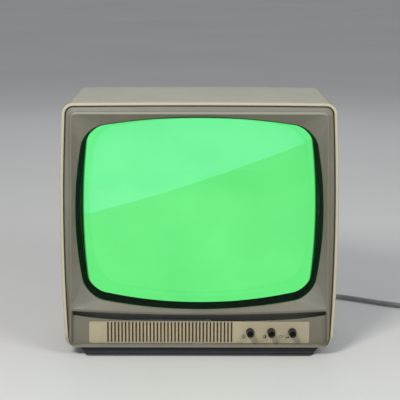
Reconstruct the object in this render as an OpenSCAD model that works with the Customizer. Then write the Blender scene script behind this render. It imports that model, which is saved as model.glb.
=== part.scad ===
// Video monitor with a 31 cm green picture tube: cabinet, tube, deflection
// yoke, boards, front controls, loudspeaker and mains lead, one module for
// each separate piece. Millimetres, +X right, -Y towards the viewer, +Z up.
// The origin is on the table, under the middle of the cabinet.

/* [Cabinet] */
// Width of the cabinet, half way up its bowed sides
cabinet_w = 300; // [299:0.5:301]
// Height of the cabinet's top above the table
cabinet_top = 278.6; // [277:0.2:280]
// Height of the cabinet's underside above the table
cabinet_bottom = 10.2; // [10:0.1:10.4]
// How far the front edge of the cabinet stands before the origin
front_depth = 143.5; // [143:0.1:144]
// How far the cabinet's main box reaches behind the origin
box_depth = 30.5; // [30:0.1:32]
// How far the narrow rear housing reaches behind the origin
hump_depth = 146; // [145:0.5:147]
// Radius of the cabinet's corners, seen from the front
corner_r = 11.5; // [10:0.5:14]
// How far each side bows outward at its middle
side_bow = 3.9; // [3:0.1:4.5]
// Wall thickness of the cabinet
wall = 3; // [2.6:0.1:3.2]
// Width of the cabinet's front rim
rim_w = 3.4; // [3.2:0.1:4]
// Gap between the rim and the bezel
seam_w = 1.2; // [0.8:0.1:1.4]

/* [Screen] */
// Height of the picture tube's axis above the table
tube_z = 156.5; // [156:0.1:157]
// Half the opening in the bezel, at the middle of its sides
opening_half = [134.2, 105.9]; // [100:0.1:140]
// Half the glass face of the tube
glass_half = [136.5, 111.5]; // [100:0.1:140]
// Half the phosphor layer
phosphor_half = [127.3, 103.2]; // [100:0.1:130]
// Radius of the tube's face
face_r = 600; // [580:5:640]
// How far the middle of the tube's face stands before the origin
face_apex = 128.9; // [128:0.1:130]
// Thickness of the glass face
glass_t = 8; // [7:0.5:9]
// Outer diameter of the tube's neck
neck_d = 20.6; // [20:0.1:21]

/* [Controls] */
// Places of the three front knobs, from the middle of the cabinet
knob_x = [55.8, 78.9, 101.9]; // [50:0.1:110]
// Height of the knobs above the table
knob_z = 26.4; // [26:0.1:27]
// Diameter of a knob at its foot
knob_d = 8.8; // [8:0.1:9.5]
// Diameter of a control's shaft
shaft_d = 6; // [5.8:0.1:6]
// How many slots the loudspeaker grille has
slot_count = 36; // [20:1:36]
// Distance from one slot to the next
slot_pitch = 3.87; // [3.6:0.01:3.9]
// Width of one slot
slot_w = 1.9; // [1.4:0.1:2.2]
// Places of the three rear controls, from the middle of the cabinet
trimmer_x = [-30, -5, 20]; // [-40:1:30]

/* [Mains lead] */
// Diameter of the lead
cord_d = 6; // [6:0.1:6.2]
// Diameter of the coil, at the middle of its turns
coil_mid_d = 66; // [64:1:68]
// Length of a plug pin
pin_len = 19; // [18:0.5:19]
// Diameter of a plug pin
pin_d = 4; // [4:0.1:4.8]

/* [Hidden] */
$fn = 48;

// A cut runs this far past the surface that it opens
cut = 1;
// Curved outlines: steps round a corner, steps along a side, and the least radius of a corner
corner_steps = 6;
side_steps = 6;
sharpest_r = 0.6;

// Cabinet planes
front_y = -front_depth;
back_y = box_depth;
cabinet_mid_z = (cabinet_top + cabinet_bottom) / 2;
cabinet_half = [cabinet_w / 2, (cabinet_top - cabinet_bottom) / 2];
cabinet_bow = [side_bow / (cabinet_w / 2 - side_bow), 0];
top_crown = 1;
// How much the cabinet draws in towards its back, on each side
rear_draft = 1.7;
hump_half_w = 100;
hump_z = [12, 236];
hump_taper = 4;
hump_r = 14;

// Air slots: width, how deep they are cut, and their pitches and places
vent_w = 3.2;
vent_reach = 8;
vent_pitch = 9;
top_vent_pitch = 12;
top_vent_y = [48, 126];
high_vent_pitch = 10;
high_vent_z = [246, 266];

// Bezel
bezel_inset = rim_w + seam_w;
bezel_t = 3;
ridge_inset = bezel_inset + 8.6;
skirt_back = -112;
opening_bow = [0.086, 0.139];
opening_r = 19.6;
opening_dome_r = 1200;
opening_dome_y = -145.5;
// The opening stands this much higher than the tube's axis
opening_raise = 1.3;
recess_y = -138;
sill_y = -139;
sill_rise = 1.6;
boss_y = -136.5;
foot_panel_half_w = 127.7;
recess_t = 2.7;
recess_half_w = 137;
recess_bottom = 13.2;
lip_z = 46.7;
lip_back_z = 38.5;
lip_rise = 4;

// Rubber feet: height, radius and places; and the height of the plinth's foot
foot_h = 1.5;
foot_r = 10;
foot_x = [-105, 105];
foot_y = [-119, 1];
plinth_z = 0.6;
// Half the plinth's width, at its foot and at its top
plinth_half = [124.6, 134];

// Fascia
fascia_half_w = 121;
fascia_top = 38;
fascia_gap = 0.2;
fascia_y = recess_y - 0.3;
flange_y = recess_y + recess_t;
flange_t = 1.5;
first_slot_x = -100;
slot_z = [14.6, 36.6];

// Picture tube
glass_bow = [0.06, 0.094];
glass_r = 25;
glass_side_t = 6;
phosphor_bow = [0.051, 0.103];
phosphor_r = 17.5;
seal_y = -88;
throat_y = 36;
neck_r = neck_d / 2;
neck_t = 1.3;
neck_end = 117;
funnel_t = 3;
funnel_steps = 12;
lug_at = [127.5, 101];
lug_y = -97;
lug_t = 1.5;
band_y = [-103, -89];
anode_t = 0.355;

// Boards
floor_z = 15;
board_z = 24;
board_t = 1.6;
deck = board_z + board_t;
rail_x = 75;
// The rails' front feet stand on the cabinet's floor, which rises a little towards the back
rail_foot_z = 13.76;
board_screw_y = [-90, 20, 126];
cover_screw_z = 22;
cover_screw_r = 1.75;
trimmer_z = deck + 7.4;
control_board_y = -116;
pot_y = -124;

// Video and sound sockets
jack_x = -124;
jack_z = [70, 98];
jack_r = 4.15;
jack_body_r = 6;
jack_len = 9;

// Mains lead
gland = [125, back_y, 30];
gland_r = 6;
relief_end = back_y + 25.5;
cord_sides = 8;
coil_centre = [310, 5];
coil_turns_w = 3;
coil_h = 18.5;
plug_x = coil_centre.x + coil_mid_d / 2 + cord_d;
plug_y = -38;
plug_size = [35, 36, 14];
pin_gap = 19;
// Route of the lead from the strain relief to the coil, then from the coil to the plug
CORD_ROUTE = [
    [125, 56, 30], [125, 64, 30], [125, 74, 28], [127, 84, 23], [131, 94, 16], [138, 102, 9],
    [147, 107, 5], [158, 108, 3], [173, 105, 3], [191, 96, 3], [210, 84, 3], [229, 72, 3],
    [249, 61, 3], [265, 54, 3], [278, 49, 3], [291, 46, 3]];
TAIL_ROUTE = [[349, -10, 13], [349, -19, 12], [349, -28, 9], [349, -34, 7], [349, -38, 7]];

// ---- outlines and solids that several pieces share ----

// Rounded rectangle with points along its sides, anticlockwise from the right-hand side
function rounded(hw, hh, r) = [
    for (q = [0:3])
        let (
            sx = q == 0 || q == 3 ? 1 : -1,
            sz = q < 2 ? 1 : -1,
            centre = [sx * (hw - r), sz * (hh - r)],
            last = centre + r * [cos(90 * q + 90), sin(90 * q + 90)],
            run = q % 2 == 0 ? [-2 * sx * (hw - r), 0] : [0, -2 * sz * (hh - r)])
        each concat(
            [for (i = [0:corner_steps])
                centre + r * [cos(90 * (q + i / corner_steps)), sin(90 * (q + i / corner_steps))]],
            [for (i = [1:side_steps - 1]) last + run * i / side_steps])];

// Rounded rectangle whose sides bow outward by a share of their half-width
function outline(half, r, bow, grow = 0) =
    let (hw = half.x / (1 + bow.x) + grow, hh = half.y / (1 + bow.y) + grow)
    [for (p = rounded(hw, hh, max(r + grow, sharpest_r)))
        [p.x * (1 + bow.x * (1 - pow(p.y / hh, 2))), p.y * (1 + bow.y * (1 - pow(p.x / hw, 2)))]];

function opening(grow = 0) =
    [for (p = outline(opening_half, opening_r, opening_bow, grow)) p + [0, opening_raise]];
function glass(grow = 0) = outline(glass_half, glass_r, glass_bow, grow);

// Lift an outline to a plane, or on to a dome whose middle is at apex
function on_plane(points, y, z = tube_z) = [for (p = points) [p.x, y, z + p.y]];
function on_dome(points, apex, r, z = tube_z) =
    [for (p = points) [p.x, apex + r - sqrt(r * r - p.x * p.x - p.y * p.y), z + p.y]];
function opening_ring(back, grow = 0) = on_dome(opening(grow), opening_dome_y + back, opening_dome_r);

// Cabinet outline at one depth, with its top crowned
function cabinet_ring(inset, y) =
    let (hw = cabinet_half.x - side_bow - inset, hh = cabinet_half.y - inset)
    [for (p = outline(cabinet_half, corner_r, cabinet_bow, -inset))
        [p.x, y, cabinet_mid_z + p.y
            + (p.y > 0 ? top_crown * (1 - min(1, pow(p.x / hw, 2))) * p.y / hh : 0)]];

// Rear housing outline at one depth: it narrows and its top falls towards the back
function hump_ring(inset, y, deeper = 0) =
    let (
        t = (y - back_y) / (hump_depth - back_y),
        hw = hump_half_w - hump_taper * t - inset,
        low = hump_z[0] + inset,
        high = hump_z[1] - 2 * hump_taper * t - inset)
    on_plane(rounded(hw, (high - low) / 2, hump_r - inset), y + deeper, (high + low) / 2);

// Solid through a list of rings that run towards +Y on its outside; its ends are fans
function middle(ring) = [for (r = ring) 1] * ring / len(ring);
module loft(rings, closed = false) {
    n = len(rings[0]);
    m = len(rings);
    polyhedron(
        points = concat(
            [for (ring = rings) each ring],
            closed ? [] : [middle(rings[0]), middle(rings[m - 1])]),
        faces = concat(
            [for (k = [0:closed ? m - 1 : m - 2], i = [0:n - 1])
                each let (a = k * n, b = ((k + 1) % m) * n, j = (i + 1) % n)
                    [[a + i, a + j, b + j], [a + i, b + j, b + i]]],
            closed ? [] : [for (i = [0:n - 1])
                each let (j = (i + 1) % n, z = (m - 1) * n) [[j, i, m * n], [z + i, z + j, m * n + 1]]]));
}

function unit(v) = v / norm(v);

// Round tube swept along points; ref is any direction that the path never takes
module tube_along(path, d, sides = 6, ref = [0, 0, 1]) {
    last = len(path) - 1;
    loft([for (k = [0:last])
        let (
            t = unit(path[min(k + 1, last)] - path[max(k - 1, 0)]),
            s = unit(cross(t, ref)),
            u = cross(s, t))
        [for (i = [0:sides - 1]) path[k] + d / 2 * (s * cos(360 * i / sides) + u * sin(360 * i / sides))]]);
}

// Extrude a shape drawn in X and Z from one depth to another
module slab(y0, y1, z = 0) translate([0, y1, z]) rotate([90, 0, 0]) linear_extrude(y1 - y0) children();
// Cylinder along +Y, cylinder along +Z, and box between two corners
module rod(p, len, r) translate(p) rotate([-90, 0, 0]) cylinder(h = len, r = r);
module post(p, len, r) translate(p) cylinder(h = len, r = r);
module span(low, high) translate(low) cube(high - low);
// Body of revolution about the tube's axis, from [radius, y] points
module turned(profile, angle = 360, start = 0)
    translate([0, 0, tube_z]) rotate([-90, 0, 0]) rotate([0, 0, start])
        rotate_extrude(angle = angle, $fn = 96) polygon(profile);

// ---- cabinet ----

module front_bezel() color([0.46, 0.45, 0.4]) difference() {
    union() {
        difference() {
            bezel_face();
            span([-foot_panel_half_w, front_y - cut, cabinet_bottom - cut],
                [foot_panel_half_w, skirt_back + cut, lip_z - 2]);
        }
        lower_panel();
        for (sx = [-1, 1], sz = [-1, 1])
            rod([sx * lug_at.x, boss_y, tube_z + sz * lug_at.y], lug_y - boss_y, 5);
    }
    lip_strips() polygon([
        [recess_y, recess_bottom], [front_y - cut, recess_bottom], [front_y - cut, lip_z + $rise],
        [front_y, lip_z + $rise], [recess_y, lip_back_z + $rise]]);
    span([-fascia_half_w, recess_y - cut, recess_bottom], [fascia_half_w, flange_y + cut, fascia_top]);
    for (sx = [-1, 1], sz = [-1, 1])
        rod([sx * lug_at.x, lug_y - 18, tube_z + sz * lug_at.y], 18 + cut, 1.6);
}

// Outer strip, face that dips towards the opening, and skirt that fits inside the cabinet
module bezel_face() loft([
    cabinet_ring(bezel_inset, front_y + 1),
    cabinet_ring(bezel_inset, skirt_back),
    cabinet_ring(bezel_inset + bezel_t, skirt_back),
    cabinet_ring(bezel_inset + bezel_t, front_y + bezel_t),
    cabinet_ring(ridge_inset, front_y + bezel_t),
    opening_ring(bezel_t),
    opening_ring(0),
    cabinet_ring(ridge_inset, front_y),
    cabinet_ring(bezel_inset + 1, front_y)], closed = true);

// Thick part of the bezel below the screen, down to the cabinet's bottom edge
module lower_panel() intersection() {
    union() {
        loft([cabinet_ring(bezel_inset, front_y), cabinet_ring(bezel_inset, flange_y)]);
        span([-foot_panel_half_w, front_y, cabinet_bottom], [foot_panel_half_w, flange_y, lip_z]);
    }
    lip_strips() polygon([
        [flange_y, cabinet_bottom], [front_y, cabinet_bottom], [front_y, lip_z + $rise + sill_rise / 2],
        [sill_y, lip_z + $rise + sill_rise], [flange_y, lip_z + $rise + sill_rise]]);
}

// Extrude a Y-Z profile along the lip in strips: $rise lifts it towards both ends
module lip_strips() {
    steps = 8;
    strip_w = 2 * recess_half_w / steps;
    for (i = [0:steps - 1]) {
        x0 = strip_w * i - recess_half_w;
        $rise = lip_rise * pow((x0 + strip_w / 2) / recess_half_w, 2);
        translate([x0, 0, 0]) rotate([90, 0, 90]) linear_extrude(strip_w) children();
    }
}

module rear_cover() color([0.72, 0.71, 0.62]) difference() {
    union() {
        loft([
            cabinet_ring(1.6, front_y), cabinet_ring(0.5, front_y + 0.6), cabinet_ring(0, front_y + 1.7),
            cabinet_ring(rear_draft, back_y - 5), cabinet_ring(rear_draft + 1.5, back_y - 1.5),
            cabinet_ring(rear_draft + 5, back_y)]);
        loft([
            hump_ring(0, back_y - wall), hump_ring(0, hump_depth - 6),
            hump_ring(1.5, hump_depth - 2), hump_ring(5, hump_depth)]);
    }
    loft([
        cabinet_ring(rim_w, front_y - cut), cabinet_ring(rim_w, front_y + 12),
        cabinet_ring(wall, front_y + 14), cabinet_ring(wall + rear_draft, back_y - wall - 4),
        cabinet_ring(wall + rear_draft + 5, back_y - wall)]);
    loft([
        hump_ring(wall, back_y - wall - 6), hump_ring(wall, hump_depth - 9),
        hump_ring(wall + 4, hump_depth - wall)]);
    span([-foot_panel_half_w - 0.3, front_y - cut, cabinet_bottom - cut],
        [foot_panel_half_w + 0.3, front_y + 12, cabinet_bottom + rim_w + 0.5]);
    cover_vents();
    for (x = trimmer_x) wall_hole([x, hump_depth, trimmer_z], shaft_d / 2 + 1.5);
    for (side = [-rail_x, rail_x]) wall_hole([side, hump_depth, cover_screw_z], cover_screw_r + 0.45);
    for (z = jack_z) wall_hole([jack_x, back_y, z], jack_body_r + 1);
    wall_hole(gland, gland_r);
}

// Hole through a back wall whose outside is at p
module wall_hole(p, r) rod([p.x, p.y - wall - cut, p.z], wall + 2 * cut, r);

// Air slots over the rear housing and high across the box's back wall, which stand side by side
module cover_vents() {
    for (i = [-6:6])
        span([top_vent_pitch * i - vent_w / 2, top_vent_y[0], hump_z[1] - vent_reach * 4],
            [top_vent_pitch * i + vent_w / 2, top_vent_y[1], hump_z[1] + cut]);
    for (i = [-11:11])
        span([high_vent_pitch * i - vent_w / 2, back_y - vent_reach, high_vent_z[0]],
            [high_vent_pitch * i + vent_w / 2, back_y + cut, high_vent_z[1]]);
    vent_rows(46, 32, 132, 9, hump_depth);
    vent_rows(124, 12, 140, 10, back_y);
}

// Rows of level air slots, one above the other, on both sides of a back wall
module vent_rows(x, half, z, rows, y)
    for (side = [-1, 1], i = [0:rows - 1])
        span([side * x - half, y - vent_reach, z + vent_pitch * i],
            [side * x + half, y + cut, z + vent_pitch * i + vent_w]);

module control_fascia() color([0.78, 0.75, 0.64]) {
    difference() {
        union() {
            span([-fascia_half_w + fascia_gap, fascia_y, recess_bottom + fascia_gap],
                [fascia_half_w - fascia_gap, flange_y, fascia_top - fascia_gap]);
            span([-fascia_half_w - 3, flange_y, recess_bottom + fascia_gap],
                [fascia_half_w + 3, flange_y + flange_t, fascia_top + 2]);
        }
        for (i = [0:slot_count - 1])
            translate([first_slot_x + slot_pitch * i - slot_w / 2, fascia_y - cut, slot_z[0]])
                cube([slot_w, 8, slot_z[1] - slot_z[0]]);
        for (x = knob_x) rod([x, fascia_y - cut, knob_z], 8, shaft_d / 2 + 0.6);
    }
    for (x = [43.5, 114.5]) rod([x, flange_y + flange_t, 20], control_board_y - flange_y - flange_t, 2.5);
}

module screen_mask() color([0.06, 0.06, 0.06]) loft([
    opening_ring(bezel_t, 3),
    on_dome(opening(3), -face_apex - 0.4, face_r),
    on_dome(opening(-3), -face_apex - 0.4, face_r),
    opening_ring(bezel_t)], closed = true);

module plinth() color([0.17, 0.15, 0.15]) difference() {
    slab(front_y + 4, 20)
        polygon([
            [-plinth_half[0], plinth_z], [plinth_half[0], plinth_z],
            [plinth_half[1], cabinet_bottom], [-plinth_half[1], cabinet_bottom]]);
    for (i = [-3.5:3.5], j = [0:4])
        if (abs(i) < 3 || (j > 0 && j < 4))
            translate([30 * i - 13, -132 + 30 * j, plinth_z - cut]) cube([26, 26, 7.4 + cut]);
    for (x = foot_x, y = foot_y) post([x, y, 0], foot_h, foot_r + 0.1);
}
module rubber_feet() color([0.1, 0.1, 0.1])
    for (x = foot_x, y = foot_y) post([x, y, 0], foot_h, foot_r);

// ---- picture tube ----

module face_ball(r) translate([0, face_r - face_apex, tube_z]) sphere(r = r, $fn = 360);

module crt_faceplate() color([0.25, 0.3, 0.28]) difference() {
    intersection() {
        slab(-face_apex - cut, seal_y, tube_z) polygon(glass());
        face_ball(face_r);
    }
    intersection() {
        slab(-face_apex - cut, seal_y + cut, tube_z) polygon(glass(-glass_side_t));
        face_ball(face_r - glass_t);
    }
}

module phosphor_screen() color([0.42, 0.96, 0.55]) difference() {
    intersection() {
        slab(-face_apex - cut, seal_y, tube_z) polygon(outline(phosphor_half, phosphor_r, phosphor_bow));
        face_ball(face_r - glass_t);
    }
    face_ball(face_r - glass_t - 0.5);
}

// The funnel eases from the glass outline to the round neck
function funnel_mix(t) = (1 - cos(180 * t)) / 2;
function funnel_ring(t, thick) =
    let (f = funnel_mix(t))
    on_plane(
        [for (p = glass(-thick)) p * (1 - f) + unit(p) * (neck_r - thick * neck_t / funnel_t) * f],
        seal_y + (throat_y - seal_y) * t);

// Place and tilt of the anode contact on the top of the funnel
anode_y = seal_y + (throat_y - seal_y) * anode_t;
anode_rise = glass_half.y * (1 - funnel_mix(anode_t)) + neck_r * funnel_mix(anode_t);
anode_slope = atan((glass_half.y - neck_r) * PI / 2 * sin(180 * anode_t) / (throat_y - seal_y));
module at_anode() translate([0, anode_y, tube_z + anode_rise]) rotate([-anode_slope, 0, 0]) children();

module crt_funnel() color([0.16, 0.16, 0.17]) difference() {
    loft(concat(
        [for (i = [0:funnel_steps]) funnel_ring(i / funnel_steps, 0)],
        [for (i = [funnel_steps:-1:0]) funnel_ring(i / funnel_steps, funnel_t)]), closed = true);
    at_anode() post([0, 0, -10], 20, 3);
}

module crt_neck() color([0.75, 0.8, 0.8]) difference() {
    rod([0, throat_y, tube_z], neck_end - throat_y, neck_r);
    rod([0, throat_y - cut, tube_z], neck_end - 2 - throat_y + cut, neck_r - neck_t);
}

module crt_base() color([0.2, 0.17, 0.14]) {
    rod([0, neck_end, tube_z], 4, neck_r - 0.3);
    for (i = [0:6]) rotate_about_tube(45 * i + 22.5) rod([6, neck_end + 4, tube_z], 6, 0.6);
}
module rotate_about_tube(angle)
    translate([0, 0, tube_z]) rotate([0, angle, 0]) translate([0, 0, -tube_z]) children();

module electron_gun() color([0.75, 0.75, 0.77]) {
    // Heater and cathode cup, control grid, screen grid, focus cylinder and final anode
    GUN = [[104, 6, 3.2], [98, 4, 5.2], [90, 5, 5.2], [64, 22, 5.8], [50, 10, 6.2]];
    for (part = GUN)
        difference() {
            rod([0, part[0], tube_z], part[1], part[2]);
            rod([0, part[0] - cut, tube_z], part[1] + 2 * cut, part[2] - 1.2);
        }
    for (side = [-1, 1]) {
        span([side * 6.6 - 1, 50, tube_z - 1], [side * 6.6 + 1, neck_end - 2, tube_z + 1]);
        for (part = GUN)
            span([side * 4.9 - 2, part[0] + 1, tube_z - 0.5], [side * 4.9 + 2, part[0] + 2.5, tube_z + 0.5]);
    }
}

module tension_band() color([0.55, 0.55, 0.56]) difference() {
    union() {
        slab(band_y[0], band_y[1], tube_z) polygon(glass(1));
        for (sx = [-1, 1], sz = [-1, 1])
            slab(lug_y, lug_y + lug_t, tube_z) translate([sx * lug_at.x, sz * lug_at.y]) {
                circle(r = 8);
                rotate(sx * sz > 0 ? 45 : -45) translate([sx > 0 ? -14 : 0, -7]) square([14, 14]);
            }
    }
    slab(band_y[0] - cut, band_y[1] + cut, tube_z) polygon(glass());
    for (sx = [-1, 1], sz = [-1, 1])
        rod([sx * lug_at.x, lug_y - cut, tube_z + sz * lug_at.y], 4, 2.4);
}

// Pan-head screw whose head rests on the plane at its origin and whose shank runs to -Z
module screw(shank_r, shank_len, head_r, head_h) {
    difference() {
        cylinder(h = head_h, r = head_r);
        for (a = [0, 90]) rotate(a) translate([-head_r * 0.6, -0.4, head_h - 1]) cube([head_r * 1.2, 0.8, 2]);
    }
    translate([0, 0, -shank_len]) cylinder(h = shank_len, r = shank_r);
}

module assembly_screws() color([0.7, 0.7, 0.68]) {
    for (sx = [-1, 1], sz = [-1, 1])
        translate([sx * lug_at.x, lug_y + lug_t, tube_z + sz * lug_at.y]) rotate([-90, 0, 0])
            screw(1.6, 16, 4.5, 3);
    for (side = [-rail_x, rail_x])
        translate([side, hump_depth, cover_screw_z]) rotate([-90, 0, 0]) screw(cover_screw_r, 12, 4, 2.5);
    for (side = [-rail_x, rail_x], y = board_screw_y) translate([side, y, deck]) screw(1.5, 8, 3, 2);
}

// Rubber skirt with a domed top, on a contact that plugs into the glass
module anode_cap() color([0.12, 0.1, 0.1]) at_anode() {
    post([0, 0, 0.3], 2, 14);
    post([0, 0, 2.3], 3, 11);
    post([0, 0, 5.3], 3, 6);
    post([0, 0, -3.7], 4, 2.9);
}

module anode_lead() color([0.55, 0.12, 0.1]) tube_along([
    [0, anode_y + 8.5, tube_z + anode_rise + 7], [-4, anode_y + 18, tube_z + anode_rise + 12], [-16, 0, 250],
    [-30, 14, 236], [-44, 28, 217], [-55, 50, 180],
    [-62, 74, 125], [-65, 88, 102],
    [-65, 92, 92], [-65, 92, deck + 60]],
    4, ref = [0.9, 0.1, 0.2]);

module ground_braid() color([0.7, 0.6, 0.45]) tube_along([
    [-121, -94.3, 52.5], [-106, -88, 45.5], [-60, -84, 42.5], [-20, -83, 42], [20, -83, 42], [60, -84, 42.5],
    [106, -88, 45.5], [121, -94.3, 52.5]], 2.4);

// ---- deflection yoke ----

// Inner radius of the liner at points along the axis, and its copy a given distance out
LINER = [[48, -6], [30, 8], [17, 22], [11.5, 34]];
function yoke_layer(from, to) = concat(
    [for (p = LINER) [p.x + from, p.y]],
    [for (i = [len(LINER) - 1:-1:0]) [LINER[i].x + to, LINER[i].y]]);

module yoke_liner() color([0.85, 0.85, 0.8]) {
    turned(concat(
        [for (p = LINER) p], [[11.5, 60]], [[12.2, 60], [12.2, 50], [13, 50]],
        [for (i = [len(LINER) - 1:-1:0]) [LINER[i].x + 1.5, LINER[i].y]]));
    turned([[48.2, -6], [56, -6], [56, -4.5], [47, -4.5]]);
}
module line_coils() color([0.72, 0.35, 0.15]) difference() {
    for (start = [15, 195]) turned(yoke_layer(1.7, 5.5), 150, start);
    turned([[0, -8], [90, -8], [90, -4.3], [0, -4.3]]);
}
module yoke_core() color([0.2, 0.2, 0.21]) difference() {
    turned(yoke_layer(6, 13));
    turned([[0, -8], [90, -8], [90, 2], [0, 2]]);
    turned([[0, 31], [90, 31], [90, 40], [0, 40]]);
}
module frame_coils() color([0.75, 0.4, 0.18]) difference() {
    for (start = [-50, 130]) turned(yoke_layer(13.1, 16), 100, start);
    turned([[0, -8], [90, -8], [90, 1], [0, 1]]);
    turned([[0, 32], [90, 32], [90, 40], [0, 40]]);
}
module yoke_clamp() color([0.6, 0.6, 0.62]) {
    turned([[13, 44], [15, 44], [15, 49], [13, 49]]);
    span([-3, 44, tube_z + 14.5], [3, 49, tube_z + 22]);
}
// Ring magnet with one tab to turn it by
ring_bore_r = 12.27;
ring_r = 20;
ring_t = 2;
tab_w = 6;
module centring_ring(y, angle) rotate_about_tube(angle) {
    turned([[ring_bore_r, y], [ring_r, y], [ring_r, y + ring_t], [ring_bore_r, y + ring_t]]);
    span([-tab_w / 2, y, tube_z + ring_r - 1], [tab_w / 2, y + ring_t, tube_z + ring_r + 9]);
}
module centring_ring_front() color([0.3, 0.3, 0.3]) centring_ring(51, -20);
module centring_ring_rear() color([0.35, 0.33, 0.3]) centring_ring(54, 25);

module neck_socket() color([0.85, 0.82, 0.75]) difference() {
    rod([0, neck_end + 4.3, tube_z], 7.7, 14);
    for (i = [0:6]) rotate_about_tube(45 * i + 22.5) rod([6, neck_end + 3, tube_z], 8, 0.7);
}
module neck_board() color([0.55, 0.42, 0.2]) {
    span([-30, neck_end + 12, tube_z - 32], [30, neck_end + 13.6, tube_z + 28]);
    for (p = [[-20, -20], [-8, -22], [18, 16], [-18, 18], [8, -20]])
        rod([p.x, neck_end + 13.6, tube_z + p.y], 5, 2.2);
}

// ---- chassis ----

module main_board() color([0.55, 0.42, 0.2]) difference() {
    span([-90, -95, board_z], [90, 131, deck]);
    for (sx = [-1, 1], y = board_screw_y) post([sx * rail_x, y, board_z - cut], 4, 1.6);
}
module chassis_rails() color([0.6, 0.62, 0.63]) difference() {
    for (side = [-rail_x, rail_x]) {
        span([side - 5, -95, floor_z], [side + 5, 132, board_z]);
        span([side - 5, 131, floor_z + 5], [side + 5, hump_depth - wall, board_z + 4]);
        span([side - 5, -95, rail_foot_z], [side + 5, -80, floor_z]);
    }
    for (side = [-rail_x, rail_x], y = board_screw_y) post([side, y, deck - 8], 20, 1.5);
    for (side = [-rail_x, rail_x]) rod([side, hump_depth - 12, cover_screw_z], 20, cover_screw_r);
}
module transformer_core() color([0.4, 0.38, 0.36]) difference() {
    span([38, -34, deck], [88, 2, deck + 40]);
    span([46, -35, deck + 8], [56, 3, deck + 32]);
    span([70, -35, deck + 8], [80, 3, deck + 32]);
}
module transformer_winding() color([0.75, 0.55, 0.3]) difference() {
    span([46.3, -40, deck + 8.3], [79.7, 8, deck + 31.7]);
    span([55.7, -35, deck + 7], [70.3, 3, deck + 33]);
}
module flyback_transformer() color([0.13, 0.13, 0.14]) {
    post([-65, 92, deck], 48, 17);
    post([-65, 92, deck + 48], 12, 8);
    difference() {
        span([-72, 60, deck], [-58, 80, deck + 44]);
        span([-75, 66, deck + 8], [-50, 74, deck + 36]);
    }
}
module heatsink() color([0.75, 0.76, 0.78]) {
    span([34, 104, deck], [82, 107, deck + 46]);
    for (i = [0:7]) span([34 + 6.5 * i, 107, deck], [36 + 6.5 * i, 117, deck + 46]);
}
module semiconductors() color([0.12, 0.12, 0.12]) {
    for (x = [42, 60]) span([x, 99.5, deck + 14], [x + 10, 104, deck + 29]);
    for (p = [[-40, -60], [-5, -40], [10, 60]]) span([p.x, p.y, deck], [p.x + 20, p.y + 7, deck + 4]);
    for (p = [[-70, -10], [-60, -10], [-50, -10], [-70, 5], [-60, 5]])
        span([p.x, p.y, deck], [p.x + 5, p.y + 4, deck + 7]);
}
module electrolytic_capacitors() color([0.15, 0.25, 0.5]) {
    post([10, 92, deck], 45, 13);
    post([-20, 86, deck], 30, 8);
    for (p = [[-70, -40], [-50, -40], [-70, -70], [10, -10], [-10, 30], [30, 34]])
        post([p.x, p.y, deck], 16, 5);
    for (p = [[-30, -20], [-18, -20], [-80, 30], [-66, 30], [60, 40], [74, 40]])
        post([p.x, p.y, deck], 11, 3);
}
module film_capacitors() color([0.8, 0.45, 0.12])
    for (p = [[-80, -20], [-45, 40], [40, 60], [60, 60], [-10, 55], [-30, 50], [30, -80], [50, -80]])
        span([p.x, p.y, deck], [p.x + 13, p.y + 6, deck + 11]);
module resistors() color([0.75, 0.65, 0.45])
    for (i = [0:8], j = [0:1]) rod([-14 + 9 * i, -70 + 12 * j, deck + 1.2], 9, 1.2);
module connectors() color([0.9, 0.88, 0.8]) {
    span([44, -93, deck], [64, -87, deck + 7]);
    span([-50, -93, deck], [-40, -87, deck + 7]);
    span([20, 68, deck], [34, 74, deck + 7]);
    span([44, 72, deck], [56, 78, deck + 7]);
    span([-88, 0, deck], [-82, 12, deck + 7]);
    span([82, 28, deck], [88, 44, deck + 7]);
}

// ---- rear controls ----

module trimmer_bodies() color([0.3, 0.35, 0.6]) difference() {
    for (x = trimmer_x) span([x - 7, 118, deck], [x + 7, 129, deck + 14.8]);
    for (x = trimmer_x) rod([x, 121, trimmer_z], 12, shaft_d / 2 + 0.05);
}
// Shaft with a screwdriver slot in its end
module trimmer_shaft(x) difference() {
    rod([x, 121.5, trimmer_z], 150 - 121.5, shaft_d / 2);
    span([x - 4, 148.5, trimmer_z - 0.5], [x + 4, 151, trimmer_z + 0.5]);
}
module v_hold_shaft() color([0.12, 0.12, 0.12]) trimmer_shaft(trimmer_x[0]);
module height_shaft() color([0.12, 0.12, 0.12]) trimmer_shaft(trimmer_x[1]);
module h_hold_shaft() color([0.12, 0.12, 0.12]) trimmer_shaft(trimmer_x[2]);

// ---- front controls ----

module control_board() color([0.55, 0.42, 0.2])
    span([38, control_board_y, cabinet_bottom + wall + 0.8], [118, control_board_y + board_t, 42]);
module pot_bodies() color([0.65, 0.65, 0.66]) difference() {
    for (x = knob_x) {
        rod([x, pot_y, knob_z], control_board_y - pot_y, 8);
        rod([x, pot_y - 6, knob_z], 6, 4.5);
    }
    for (x = knob_x) rod([x, pot_y - 7, knob_z], 12, shaft_d / 2 + 0.05);
}
module power_switch() color([0.2, 0.2, 0.22])
    span([94, control_board_y + board_t, 17], [110, control_board_y + board_t + 14, 36]);
module control_shaft(x) rod([x, -147, knob_z], 147 + pot_y + 4.5, shaft_d / 2);
module brightness_shaft() color([0.8, 0.8, 0.8]) control_shaft(knob_x[0]);
module contrast_shaft() color([0.8, 0.8, 0.8]) control_shaft(knob_x[1]);
module volume_shaft() color([0.8, 0.8, 0.8]) control_shaft(knob_x[2]);
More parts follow.
